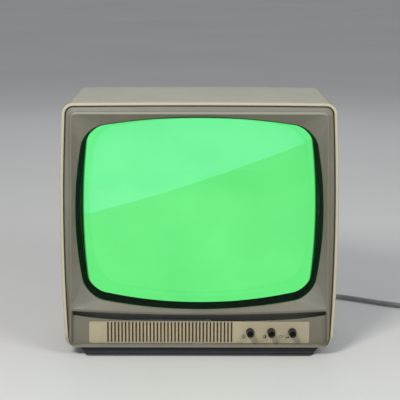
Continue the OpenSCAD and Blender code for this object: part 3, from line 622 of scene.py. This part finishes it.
finish("cord_pvc", (122, 123, 122), (140, 140, 140), 0.42, 60, 1500, 0.02)
finish("plug_plastic", (26, 26, 27), (38, 38, 39), 0.45, 110, 1300, 0.03)
finish("pin_metal", (196, 176, 120), (222, 204, 150), 0.22, 250, 1400, 0.01, metal=1.0)
finish("symbol_ink", (18, 16, 12), (26, 23, 18), 0.6, 300, 1500, 0.01)
finish("floor_paper", (206, 206, 206), (212, 212, 212), 0.7, 1.5, 400, 0.05)
striped("copper_wire", (120, 56, 26), (200, 104, 52), 0.35, 0.5, "Y", 0.2, metal=0.6)
striped("laminations", (74, 72, 70), (122, 118, 112), 0.45, 0.5, "X", 0.1, metal=0.6, wobble=0.0)
striped("winding_tape", (176, 128, 66), (202, 158, 92), 0.4, 6.0, "Z", 0.1, wobble=0.0)
circuit_board()
cloth()
braid()
face_glass()
phosphor("phosphor", 1.13)
phosphor("phosphor_edge", 0.3)


# ---- camera, light and floor ----

FLOOR_HALF = 20000
SCREEN_MIDDLE = Vector((0, -0.13, 0.156))


def set_camera():
    data = bpy.data.cameras.new("camera")
    data.sensor_width = 36
    data.lens = 126.3
    camera = add_object("camera", data)
    camera.location = (0.2 * MM, -1623.5 * MM, 453.7 * MM)
    camera.rotation_euler = (math.radians(90 - 10.69), math.radians(-0.085), 0)
    bpy.context.scene.camera = camera


def area_light(name, at, target, size, power, colour, card=False):
    """Soft box that faces its target. A card is only seen in reflections."""
    data = bpy.data.lights.new(name, "AREA")
    data.shape = "RECTANGLE"
    data.size, data.size_y = size
    data.energy = power
    data.color = colour
    lamp = add_object(name, data)
    lamp.location = at
    lamp.rotation_euler = (Vector(target) - Vector(at)).to_track_quat("-Z", "Y").to_euler()
    lamp.visible_camera = False
    lamp.visible_diffuse = not card
    return lamp


def reflection_card(left, right, height, power):
    """Window-like sheet of light that only shows in reflections; its lower edge runs from left to right."""
    left, right = Vector(left) * MM, Vector(right) * MM
    along = (right - left).normalized()
    to_screen = (SCREEN_MIDDLE - (left + right) / 2).normalized()
    up = to_screen.cross(along).normalized()
    if up.z < 0:
        up = -up
    centre = (left + right) / 2 + up * height * MM / 2
    size = ((right - left).length, height * MM)
    lamp = area_light("card", centre, (0, 0, 0), size, power, (0.33, 0.67, 1.0), card=True)
    lamp.matrix_world = Matrix((along, up, along.cross(up))).transposed().to_4x4()
    lamp.matrix_world.translation = centre


def set_studio():
    scene = bpy.context.scene
    scene.view_settings.view_transform = "Standard"
    world = bpy.data.worlds.new("studio")
    world.use_nodes = True
    sky = world.node_tree.nodes["Background"].inputs
    sky["Color"].default_value = (0.93, 0.96, 1.0, 1)
    sky["Strength"].default_value = 0.37
    scene.world = world
    area_light("key", (-0.6, -1.45, 1.3), (0, -0.1, 0.12), (0.45, 0.45), 24, (1.0, 0.96, 0.88))
    area_light("fill", (1.15, -1.35, 1.15), (0, -0.1, 0.12), (0.8, 0.8), 14, (0.98, 0.98, 1.0))
    area_light("back", (0, 1.6, 1.4), (0, 0, 0.1), (1.2, 1.2), 5.2, (1.0, 0.99, 0.97))
    reflection_card((-578, -574, -25), (683, -1189, 358), 700, 5.3)
    half = FLOOR_HALF
    floor = Shell().cap([(-half, -half, 0), (half, -half, 0), (half, half, 0), (-half, half, 0)])
    piece = floor.build("floor", MATERIALS["floor_paper"], body="")
    # Its far edge would show as a hard horizon in the tube's face
    piece.visible_glossy = False


set_camera()
set_studio()


# ---- mains lead ----

CORD_D = 6.0
# Room for the sag of the smooth curve between its points
CORD_LIFT = 0.25
COIL_CENTRE = (310.0, 5.0)
COIL_COLUMNS = (39.0, 33.0, 27.0)
COIL_LAYER = 6.0
CORD_ROUTE = (
    (125, 56, 30), (125, 64, 30), (125, 74, 28), (127, 84, 23), (131, 94, 16), (138, 102, 9),
    (147, 107, 5), (158, 108, 3), (173, 105, 3), (191, 96, 3), (210, 84, 3), (229, 72, 3),
    (249, 61, 3), (265, 54, 3), (278, 49, 3), (291, 46, 3))
TAIL_ROUTE = ((349, -10, 13), (349, -19, 12), (349, -28, 9), (349, -34, 7), (349, -38, 7))


def coil_points(per_turn=16):
    """The coil's turns, clockwise from above: in along the floor, then out and in again above it.
    Each turn keeps its column, and moves to the next one, or up, over its last third."""
    columns = [COIL_COLUMNS[k] for k in (0, 1, 2, 2, 1, 0, 0, 0)]
    layers = [0, 0, 0, 1, 1, 1, 2, 2]
    points = []
    for step in range(int(7.25 * per_turn) + 1):
        turn, part = divmod(step / per_turn, 1)
        turn = int(turn)
        move = smooth((part - 2 / 3) * 3) if turn < 7 else 0.0
        after = min(turn + 1, 7)
        r = columns[turn] + (columns[after] - columns[turn]) * move
        level = layers[turn] + (layers[after] - layers[turn]) * move
        a = math.radians(90 - 360 * step / per_turn)
        x, y = COIL_CENTRE[0] + r * math.cos(a), COIL_CENTRE[1] + r * math.sin(a)
        points.append((x, y, CORD_D / 2 + level * COIL_LAYER))
    return points


def mains_cord():
    data = bpy.data.curves.new("mains_cord", "CURVE")
    data.dimensions = "3D"
    data.bevel_depth = CORD_D / 2 * MM
    data.bevel_resolution = 5
    data.use_fill_caps = True
    data.resolution_u = 6
    spline = data.splines.new("BEZIER")
    points = [*CORD_ROUTE, *coil_points(), *TAIL_ROUTE]
    spline.bezier_points.add(len(points) - 1)
    for knot, p in zip(spline.bezier_points, points):
        knot.co = (Vector(p) + Vector((0, 0, CORD_LIFT))) * MM
        knot.handle_left_type = knot.handle_right_type = "AUTO"
    cord = add_object("mains_cord_run", data)
    data.materials.append(MATERIALS["cord_pvc"])
    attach(cord, BODY)
    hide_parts("mains_cord", "cord_coil")
    return cord


def cord_tie():
    """Flat wire tie that holds the coil's turns together."""
    shell = Shell()
    x, y = COIL_CENTRE[0], COIL_CENTRE[1] - (COIL_COLUMNS[0] + COIL_COLUMNS[2]) / 2
    half, top, width, thick = 9.8, 18.4, 2.0, 0.5
    inner, outer = (
        rounded((y - half - grow, 0.05 + thick - grow), (y + half + grow, top + grow), 3.0)
        for grow in (0.0, thick))
    rings = [np.stack((np.full(len(r), x + side * width), r[:, 0], r[:, 1]), 1)
             for r, side in ((outer, -1), (outer, 1), (inner, 1), (inner, -1))]
    shell.loft(rings, closed=True)
    return shell.build("cord_tie", MATERIALS["plug_plastic"])


def mains_plug():
    """Flat two-pin plug body: a long hexagon with soft edges that narrows to its cord end."""
    front, back = PLUG_LOW[1], PLUG_HIGH[1]
    mid_x, _, mid_z = (PLUG_LOW + PLUG_HIGH) / 2
    half_w, _, half_h = (PLUG_HIGH - PLUG_LOW) / 2

    def ring(share, y):
        w, h = half_w * share[0], half_h * share[1]
        flat = 0.66 * w
        hexagon = np.array([(w, 0), (flat, h), (-flat, h), (-w, 0), (-flat, -h), (flat, -h)])
        points = []
        for before, here, after in zip(np.roll(hexagon, 1, 0), hexagon, np.roll(hexagon, -1, 0)):
            start, end = (here + (p - here) * 2.2 / np.linalg.norm(p - here) for p in (before, after))
            points += bend(start, here, end, 5)
        return lay(np.array(points) + (mid_x, mid_z), y)

    stations = [
        ring((0.3, 0.6), back), ring((0.34, 0.62), back - 0.6), ring((0.5, 0.8), back - 8),
        ring((0.96, 1.0), back - 15), ring((1.0, 1.0), back - 20), ring((1.0, 1.0), front),
        ring((0.9, 0.8), front)]
    shell = Shell().solid(filleted(stations, (0.5, 6, 5, 4, 1.2)))
    # Finger ridges across the flat sides
    ridge = rounded((mid_x - 8, mid_z - half_h - 0.01), (mid_x + 8, mid_z + half_h - 0.05), 1.2)
    for k in range(5):
        y = back - 22 - 2.6 * k
        prism(shell, ridge, y - 0.6, y + 0.6)
    piece = shell.build("mains_plug_body", MATERIALS["plug_plastic"])
    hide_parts("mains_plug")
    return piece


def plug_pins():
    """Round pins with a rounded tip, sleeved in black for the half next to the plug."""
    shell = Shell()
    r = (PINS_HIGH[2] - PINS_LOW[2]) / 2
    z = (PINS_HIGH[2] + PINS_LOW[2]) / 2
    tip, root = PINS_LOW[1], PINS_HIGH[1]
    foot = root - 10
    metal = [(0, tip), (0.45 * r, tip + 0.1), (0.8 * r, tip + 0.7), (0.96 * r, tip + 1.6), (0.96 * r, foot)]
    sleeve = [(0, foot), (r - 0.15, foot), (r, foot + 0.2), (r, root + 0.2), (0, root + 0.2)]
    for x in (PINS_LOW[0] + r, PINS_HIGH[0] - r):
        lathe(shell, metal, (x, z))
        lathe(shell, sleeve, (x, z), slot=1)
    piece = shell.build("plug_pins_pair", MATERIALS["pin_metal"], MATERIALS["plug_plastic"])
    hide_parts("plug_pins")
    return piece


def strain_relief():
    """Flanged gland with a tapered sleeve that is cut into rings so that it bends."""
    centre = ((RELIEF_LOW + RELIEF_HIGH) / 2)[[0, 2]]
    start, end = BACK + 3, RELIEF_HIGH[1]
    profile = [(0, RELIEF_LOW[1]), (8, RELIEF_LOW[1]), (8, BACK - WALL), (6, BACK - WALL), (6, BACK),
               (7.6, BACK), (8, BACK + 0.4), (8, BACK + 2.1), (7.5, BACK + 2.6), (5.8, BACK + 3)]
    rings = 6
    pitch = (end - start - 3) / rings
    for k in range(rings):
        y = start + k * pitch
        r = 5.6 - 1.5 * k / rings
        profile += [(r, y + 0.3), (r - 0.1, y + 0.62 * pitch), (r - 0.3, y + 0.68 * pitch),
                    (r - 1.1, y + 0.7 * pitch), (r - 1.15, y + 0.96 * pitch)]
    profile += [(4.1, end - 2.8), (3.9, end - 0.4), (3.6, end), (0, end)]
    piece = lathe(Shell(), profile, centre).build("strain_relief_sleeve", MATERIALS["relief_rubber"])
    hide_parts("strain_relief")
    return piece


cord = mains_cord()
mains_plug()
plug_pins()
strain_relief()
cord_tie()


# ---- front bezel ----

def lip_rise(x, order=2):
    return (np.abs(x) / RECESS_HALF) ** order


def crest_ring(grow, y):
    """Crest of the bezel's raised edge."""
    half, low, high = CREST_HALF + grow, BOTTOM + 1.6 - grow, CREST_TOP + grow
    return lay(flared(rounded((-half, low), (half, high), (7 + grow, 7 + grow, 9 + grow, 9 + grow))), y)


def dish_ring(grow, y):
    """Edge of the face that dips towards the screen; its foot follows the lip."""
    half, low, high = RECESS_HALF + grow, LIP_Z + 3 - grow, DISH_TOP + grow
    p = rounded((-half, low), (half, high), (6 + grow, 6 + grow, 4 + grow, 4 + grow))
    foot = smooth((high - p[:, 1]) / (high - low) * 4 - 3)
    p[:, 1] += LIP_RISE * lip_rise(p[:, 0]) * foot
    return lay(flared(p), y)


def recess_ring(inset, top, y):
    """Outline of the control recess: its head rises towards both ends."""
    half, low = RECESS_HALF - inset, RECESS_FLOOR
    p = rounded((-half, low), (half, top), 2.0)
    head = smooth((p[:, 1] - low) / (top - low) * 5 - 4)
    p[:, 1] += LIP_RISE * lip_rise(p[:, 0]) * head
    return lay(flared(p), y)


def back_ring(share):
    """Hidden side of the bezel, between its opening and its skirt, and deeper behind the control strip."""
    near, far = opening_ring(3.2, 1.6), cabinet_ring(RIM + SEAM + WALL, FRONT + 8.2)
    ring = near + (far - near) * share
    low = smooth((62 - ring[:, 2]) / 10)
    ring[:, 1] += np.maximum(0, CAVE_BACK + WALL - ring[:, 1]) * low
    return ring


def cave():
    """Cutter for the hollow behind the lip: a band that narrows to its ends, with a floor that falls away."""
    x = np.linspace(-138, 138, 61)
    head = LIP_Z + 0.2 + LIP_RISE * lip_rise(x)
    foot = CAVE_FLOOR_Z + CAVE_RISE * lip_rise(x, 4)
    rings = [
        lay(np.concatenate((np.stack((x, foot + drop), 1), np.stack((x, head), 1)[::-1])), y)
        for y, drop in ((RECESS_Y - 1.5, 0.8), (CAVE_BACK, -4))]
    return Shell().solid(rings).build("cave", body="")


def front_bezel():
    """Bezel set into the cabinet's rim, with its dished face, control recess and pocket for the strip."""
    inset = (RIM + SEAM) * RIM_LEFT
    skirt = RIM + SEAM
    rim_gone = 1 - RIM_LEFT
    step = -137.6 * RIM_LEFT - 133.6 * rim_gone
    flange = (RIM + 0.1) * RIM_LEFT
    lean = FRONT + 2.4 * RIM_LEFT - 0.6 * rim_gone
    shoulder = FRONT + 1.1 * RIM_LEFT - 0.3 * rim_gone
    edge = filleted([
        cabinet_ring(skirt, SKIRT_END), cabinet_ring(skirt, step), cabinet_ring(flange, step - 0.3),
        cabinet_ring(flange, step - 2), cabinet_ring(inset, step - 2.3), cabinet_ring(inset, lean),
        crest_ring(1.3, shoulder), crest_ring(0, FRONT), crest_ring(-0.5, FRONT)],
        (0, 0, 0, 0, 1.0, 1.2, 0.7))
    dish = filleted([
        dish_ring(0.7, FRONT), dish_ring(0, FRONT), opening_ring(0), opening_ring(3.2)], (1.8, 1.1))
    recess = filleted([
        recess_ring(-0.4, LIP_Z + 1.8, FRONT), recess_ring(0, LIP_Z, FRONT + 0.3),
        recess_ring(1.8, LIP_Z, RECESS_Y), recess_ring(4, LIP_Z - 2, RECESS_Y)], (1.5, 1.2))
    recess[0][:, 2] -= 0.4 * (recess[0][:, 2] < RECESS_FLOOR + 2)
    shell = Shell().loft(edge).loft(dish).loft(recess).cap(recess[-1])
    shell.fill([edge[-1], dish[0], recess[0]])
    shell.loft([
        dish[-1], opening_ring(3.2, 1.6), *(back_ring(k / 6) for k in range(7)),
        cabinet_ring(skirt + WALL, SKIRT_END), edge[0]])
    piece = shell.build("front_bezel_moulding", MATERIALS["bezel_plastic"])
    half, floor, head = STRIP_HALF, RECESS_FLOOR, STRIP_HEAD
    pocket = rounded((-half - 0.2, floor + 0.05), (half + 0.2, head + 0.2), 2.2)
    window = rounded((-half + 1.8, floor + 5.2), (half - 1.8, head - 0.6), 2.2)
    cut(piece, prism(Shell(), pocket, RECESS_Y - 3, FASCIA_BACK + 0.1).build("strip_pocket", body=""))
    cut(piece, prism(Shell(), window, FASCIA_BACK - 1, CAVE_BACK + 8).build("strip_window", body=""))
    cut(piece, cave())
    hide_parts("front_bezel")


# ---- control strip, its printed symbols and the knobs ----

CONTROLS = ("brightness", "contrast", "volume")
KNOB_MIDDLES = [sum(box_mm(name + "_knob")) / 2 for name in CONTROLS]
KNOB_X = [middle[0] for middle in KNOB_MIDDLES]
KNOB_Z = KNOB_MIDDLES[0][2]
SLOTS = 36
SLOT_PITCH = 3.87
SLOT_W = 1.9
SLOT_FOOT = 14.15
SLOT_HEAD = 37.1
FIRST_SLOT_X = -100.0


def control_fascia():
    """Strip with a soft front edge, bevelled slots and knob holes."""
    face, back = FASCIA_FACE, FASCIA_BACK

    def strip(grow, y):
        half, low, high = STRIP_HALF + grow, RECESS_FLOOR + 0.25 - grow, STRIP_HEAD + grow
        return lay(rounded((-half, low), (half, high), 2 + grow), y)

    outside = filleted([strip(-0.3, face), strip(0, face), strip(0, back), strip(-0.3, back)], (0.3, 0))
    walls = [outside]
    for i in range(SLOTS):
        x = FIRST_SLOT_X + SLOT_PITCH * i

        def slot(grow, y):
            w = SLOT_W / 2 + grow
            return lay(slot_outline((x - w, SLOT_FOOT - grow), (x + w, SLOT_HEAD + grow)), y)

        walls.append(filleted([slot(0.2, face), slot(0, face), slot(-0.12, back)], (0.2,), 3))
    for x in KNOB_X:
        rings = [lay(circle((x, KNOB_Z), r), y) for r, y in ((4.0, face), (3.6, face), (3.6, back))]
        walls.append(filleted(rings, (0.3,), 3))
    shell = Shell()
    for wall in walls:
        shell.loft(wall)
    shell.fill([wall[0] for wall in walls]).fill([wall[-1] for wall in walls])
    piece = shell.build("control_fascia_strip", MATERIALS["fascia_plastic"])
    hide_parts("control_fascia")


def grille_cloth():
    """Thin brown cloth stretched behind the speaker slots, with a turned-in edge."""
    low = np.array((FIRST_SLOT_X - 6, RECESS_FLOOR + 0.6))
    high = np.array((FIRST_SLOT_X + SLOT_PITCH * (SLOTS - 1) + 6, 37.6))
    rings = [
        lay(rounded(low + inset, high - inset, 1.5), FASCIA_BACK + back)
        for inset, back in ((2.5, 0.12), (0.5, 0.06), (0, 0.3), (0.5, 0.62), (2.5, 0.5))]
    Shell().solid(rings).build("grille_cloth", MATERIALS["grille_cloth"])


def slot_outline(low, high, r=0.45, steps=3):
    """Narrow slot with barely rounded corners."""
    (x0, z0), (x1, z1) = low, high
    centres = ((x1 - r, z1 - r), (x0 + r, z1 - r), (x0 + r, z0 + r), (x1 - r, z0 + r))
    return np.concatenate([arc(centre, r, 90 * q, 90 * q + 90, steps) for q, centre in enumerate(centres)])


def flat_ring(shell, centre, r, width, y0, y1, steps=32):
    outer, inner = (circle(centre, r + side * width / 2, steps) for side in (1, -1))
    shell.loft([lay(outer, y0), lay(inner, y0), lay(inner, y1), lay(outer, y1)], closed=True)


def control_symbols():
    """Printed marks beside the knobs: a sun, a half-filled disc, and a switch ring with a wedge."""
    shell = Shell()
    y0, y1 = FASCIA_FACE - 0.06, FASCIA_FACE + 0.02
    z = KNOB_Z - 5.6
    sun, disc, ring = (np.array((x, z)) for x in (KNOB_X[0] - 7.0, KNOB_X[1] - 7.0, KNOB_X[2] - 12.6))
    flat_ring(shell, sun, 1.25, 0.5, y0, y1, 24)
    rays = circle((0, 0), 1, 8)
    for along, across in zip(rays, np.roll(rays, -2, 0)):
        near, far, half = sun + 1.75 * along, sun + 2.4 * along, 0.22 * across
        prism(shell, np.array([near - half, far - half, far + half, near + half]), y0, y1)
    flat_ring(shell, disc, 1.7, 0.45, y0, y1)
    prism(shell, np.concatenate((arc(disc, 1.5, -90, 90, 16), [disc])), y0, y1 + 0.01)
    flat_ring(shell, ring, 1.6, 0.45, y0, y1)
    origin = np.array((KNOB_X[2], z))
    stroke = ((-9.8, -0.6), (-9.4, -0.6), (-10.2, 1.0), (-10.6, 1.0))
    wedge = ((-8.0, -1.1), (-3.2, -1.1), (-3.2, 0.5))
    for mark in (stroke, wedge):
        prism(shell, origin + mark, y0, y1)
    shell.build("control_symbols", MATERIALS["symbol_ink"])


def knob(name, body, x):
    """Slim tapered knob with a wider foot, fine flutes and a dished end."""
    low, high = box_mm(name)
    front, back = low[1], high[1]
    r = (high[0] - low[0]) / 2
    steps, flutes, flute_depth = 120, 20, 0.28
    way = circle((0, 0), 1, steps)
    flute = 0.5 - 0.5 * np.cos(flutes * np.radians(360 * np.arange(steps) / steps))
    # Radius, depth and share of the full flute
    profile = [
        (0.6, front + 0.35, 0), (2.6, front + 0.35, 0), (2.9, front + 0.1, 0), (3.15, front, 0),
        (3.5, front + 0.05, 0), (3.72, front + 0.3, 0), (3.8, front + 0.7, 0.1), (3.9, front + 1.4, 1),
        (4.1, back - 3.2, 1), (4.15, back - 2.6, 0.1), (4.15, back - 2.3, 0), (r - 0.15, back - 2.1, 0),
        (r, back - 1.8, 0), (r, back, 0), (2.9, back, 0)]
    rings = [
        lay((x, KNOB_Z) + way * (radius - flute_depth * fluted * flute)[:, None], y)
        for radius, y, fluted in profile]
    piece = Shell().solid(rings).build(name + "_moulding", MATERIALS["knob_plastic"], sharp=50, body=body)
    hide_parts(name)


def front_controls():
    control_fascia()
    control_symbols()
    grille_cloth()
    for name, x in zip(CONTROLS, KNOB_X):
        knob(name + "_knob", name + "_control", x)


# ---- picture tube ----

def dome_patch(shell, outline, dome, rings=14):
    """Smooth domed sheet inside an outline about the tube's axis, in shrinking rings."""
    shares = np.linspace(1, 0, rings + 1)[:-1] ** 0.8
    patch = [on_dome(outline * share, dome) for share in shares]
    shell.loft(patch).cap(patch[-1])
    return patch[0]


def crt_faceplate():
    """Thick curved face with a rounded shoulder and a skirt that runs back to the funnel seal."""
    seal = FACE_HIGH[1]
    outside, inside = bowed(**GLASS), bowed(**GLASS, grow=-GLASS_SIDE)
    inner_dome = (FACE_Y + GLASS_T, FACE_R - GLASS_T)
    shell = Shell()
    front = dome_patch(shell, bowed(**GLASS, grow=-5), FACE_DOME)
    back = dome_patch(shell, bowed(**GLASS, grow=-GLASS_SIDE - 2), inner_dome)
    shell.loft(filleted([
        front, on_dome(outside, FACE_DOME), lay(outside + (0, TUBE_Z), seal),
        lay(inside + (0, TUBE_Z), seal), on_dome(inside, inner_dome), back], (4, 0, 0, 1.5), 6))
    piece = shell.build("crt_faceplate_glass", MATERIALS["face_glass"])
    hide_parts("crt_faceplate")


def phosphor_screen():
    """Thin domed coating whose outermost border glows less."""
    shell = Shell()
    near = (FACE_Y + GLASS_T + 0.15, FACE_R - GLASS_T - 0.15)
    far = (FACE_Y + GLASS_T + 0.6, FACE_R - GLASS_T - 0.6)
    front = dome_patch(shell, bowed(**PHOSPHOR, grow=-PHOSPHOR_EDGE), near)
    back = dome_patch(shell, bowed(**PHOSPHOR, grow=-PHOSPHOR_EDGE), far)
    edge = bowed(**PHOSPHOR)
    shell.loft([front, on_dome(edge, near), on_dome(edge, far), back], slot=1)
    piece = shell.build("phosphor_layer", MATERIALS["phosphor"], MATERIALS["phosphor_edge"])
    # Mask of the painted reflection: how far out the glass mirrors the viewer's ray to, as a share of the way
    # to the opening's edge
    places = np.array([v.co for v in piece.data.vertices])[:, (0, 2)] / MM - (0, TUBE_Z)
    x, z = (places * MIRROR_SPREAD - (0, MIRROR_DROP + OPENING_RAISE)).T
    edge_x, edge_z = bowed(**OPENING).T
    edge_turn, edge_r = np.arctan2(edge_z, edge_x), np.hypot(edge_x, edge_z)
    border = np.hypot(x, z) / np.interp(np.arctan2(z, x), edge_turn, edge_r, period=2 * math.pi)
    piece.data.attributes.new("border", "FLOAT", "POINT").data.foreach_set("value", border.astype("f"))
    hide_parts("phosphor_screen")


def screen_mask():
    """Black ring between the bezel's opening and the tube's face, with a rolled inner lip."""
    near = (FACE_Y - 0.4, FACE_R)
    shell = Shell().loft(filleted([
        opening_ring(3.3, 1.5), opening_ring(0, 1.5, near), opening_ring(0, -3, near),
        opening_ring(-1, -2.6, near), opening_ring(6.2, -0.4), opening_ring(3.3, -0.2),
        opening_ring(3.3, 1.5)], (0, 0.3, 0.4, 2.0, 0.3)))
    piece = shell.build("screen_mask_ring", MATERIALS["black_plastic"])
    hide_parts("screen_mask")


def crt_funnel():
    """Glass funnel that eases from the face's outline to the round neck, coated but for its ends."""
    neck_low, neck_high = box_mm("crt_neck")
    seal, throat = FACE_HIGH[1], neck_low[1]
    neck_r = (neck_high[0] - neck_low[0]) / 2

    def ring(t, thick):
        outline = bowed(**GLASS, grow=-thick)
        mix = (1 - math.cos(math.pi * t)) / 2
        round_part = outline / np.linalg.norm(outline, axis=1)[:, None] * (neck_r - thick * 0.43)
        return lay(outline * (1 - mix) + round_part * mix + (0, TUBE_Z), seal + (throat - seal) * t)

    steps = np.linspace(0, 1, 25)
    rings = [ring(t, 0) for t in steps] + [ring(t, 3) for t in steps[::-1]]
    shell = Shell()
    n = len(steps)
    shell.loft(rings[:3]).loft(rings[2:n - 3], slot=1).loft(rings[n - 4:] + [rings[0]])
    piece = shell.build("crt_funnel_glass", MATERIALS["tube_glass"], MATERIALS["aquadag"])
    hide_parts("crt_funnel")


def picture_tube():
    crt_faceplate()
    phosphor_screen()
    screen_mask()
    crt_funnel()


# ---- plinth ----

def plinth():
    """Dark base with slanted ends, a small foot that steps forward, and soft edges."""
    front, back, low, high = PLINTH_LOW[1], PLINTH_HIGH[1], PLINTH_LIFT, PLINTH_HIGH[2]
    wide, narrow = PLINTH_HIGH[0], PLINTH_NARROW

    def level(z, grow=0.0):
        half = narrow + (wide - narrow) * (z - low) / (high - low) + min(grow, 0)
        p = rounded((-half, front - grow), (half, back + min(grow, 0)), 5.5 + min(grow, 0))
        return np.stack((p[:, 0], p[:, 1], np.full(len(p), z)), 1)

    rings = filleted([
        level(high - 0.05, -4), level(high - 0.05), level(low + 2.6), level(low + 1.6, 2.2), level(low, 3.6),
        level(low, -4)], (0.3, 0.6, 0.8, 0.4))
    piece = Shell().solid(rings).build("plinth_base", MATERIALS["plinth_plastic"])
    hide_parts("plinth")


# ---- rear cover ----

VENT_W = 3.2
ROW_PITCH = 9.0
TRIMMER_X = (-30, -5, 20)
TRIMMER_Z = 33
JACK_X = -124
JACK_Z = (70, 98)
LEAD_AT = (125, 30)
COVER_SCREW_AT = (75, 22)


def vent_cutters():
    """All the air slots, screw, shaft, socket and lead holes of the rear cover, as one mesh."""
    shell = Shell()

    def through(outline, wall):
        prism(shell, outline, wall - 8, wall + 2)

    def row(x, half, z, wall):
        through(stadium((x - half, z), (x + half, z + VENT_W)), wall)

    def upright(x, z0, z1):
        return stadium((x - VENT_W / 2, z0), (x + VENT_W / 2, z1))

    # In the top of the rear housing
    for i in range(-6, 7):
        slot = upright(12 * i, 48, 126)
        shell.solid([np.insert(slot, 2, z, 1) for z in (205, 250)])
    # In the backs of the housing and, beside and above it, of the main box
    for side in (-1, 1):
        for i in range(9):
            row(side * 46, 32, 132 + ROW_PITCH * i, HUMP_BACK)
        for i in range(10):
            row(side * 124, 12, 140 + ROW_PITCH * i, BACK)
        through(circle((side * COVER_SCREW_AT[0], COVER_SCREW_AT[1]), 2.2, 24), HUMP_BACK)
    for i in range(-11, 12):
        through(upright(10 * i, 246, 266), BACK)
    for x in TRIMMER_X:
        through(circle((x, TRIMMER_Z), 4.5), HUMP_BACK)
    for z in JACK_Z:
        through(circle((JACK_X, z), 7), BACK)
    through(circle(LEAD_AT, 6.02), BACK)
    return shell.build("vent_cutters", body="")


def rear_cover():
    """Outer shell: the rim round the bezel, the main box, and the housing for the tube's neck behind it."""
    front = FRONT + SET_BACK * RIM_BACK
    rim = np.maximum(RIM * RIM_LEFT, WALL * RIM_BACK)
    outside = filleted([
        cabinet_ring(rim, FRONT + SET_BACK + 1), cabinet_ring(rim, front), cabinet_ring(0, front),
        cabinet_ring(DRAFT, BACK), hump_ring(-0.4, BACK), hump_ring(0, BACK + 1.5), hump_ring(0, HUMP_BACK),
        hump_ring(12, HUMP_BACK)],
        (0.9, 1.9, 6, 0.6, 1.2, 6), 5)
    inside = filleted([
        hump_ring(12, HUMP_BACK - WALL), hump_ring(WALL, HUMP_BACK - WALL), hump_ring(WALL, BACK - WALL),
        cabinet_ring(WALL + DRAFT, BACK - WALL), cabinet_ring(WALL, FRONT + SET_BACK + 3)], (3, 1, 3), 3)
    shell = Shell().loft(outside).loft(inside).loft([inside[-1], outside[0]])
    shell.cap(outside[-1]).cap(inside[0])
    piece = shell.build("rear_cover_moulding", MATERIALS["cabinet_plastic"])
    cut(piece, vent_cutters())
    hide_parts("rear_cover")


front_bezel()
rear_cover()
front_controls()
picture_tube()
plinth()

# ---- finishes of the CAD pieces that are shown as they are ----

NODES_IN_FINISH = {
    "rubber": "rubber_feet anode_cap",
    "tube_glass": "crt_neck",
    "base_plastic": "crt_base",
    "gun_metal": "electron_gun",
    "steel": "tension_band assembly_screws yoke_clamp",
    "ht_wire": "anode_lead",
    "copper_braid": "ground_braid",
    "liner_plastic": "yoke_liner",
    "ferrite": "yoke_core",
    "copper_wire": "line_coils frame_coils",
    "magnet_plastic": "centring_ring_front centring_ring_rear",
    "connector_nylon": "neck_socket connectors",
    "circuit_board": "neck_board main_board control_board",
    "galvanised": "chassis_rails",
    "laminations": "transformer_core",
    "winding_tape": "transformer_winding",
    "potting": "flyback_transformer",
    "aluminium": "heatsink",
    "chip_black": "semiconductors power_switch",
    "capacitor_sleeve": "electrolytic_capacitors",
    "film_dip": "film_capacitors",
    "resistor_body": "resistors",
    "trimmer_blue": "trimmer_bodies",
    "shaft_plastic": "v_hold_shaft height_shaft h_hold_shaft",
    "pot_metal": "pot_bodies",
    "shaft_metal": "brightness_shaft contrast_shaft volume_shaft",
    "speaker_steel": "speaker_frame",
    "cone_paper": "speaker_cone",
    "magnet_steel": "speaker_magnet",
    "jack_metal": "signal_jacks",
    "harness_wire": "wiring_harness"}
for surface, nodes in NODES_IN_FINISH.items():
    for node in nodes.split():
        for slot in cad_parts[node].material_slots:
            slot.material = MATERIALS[surface]
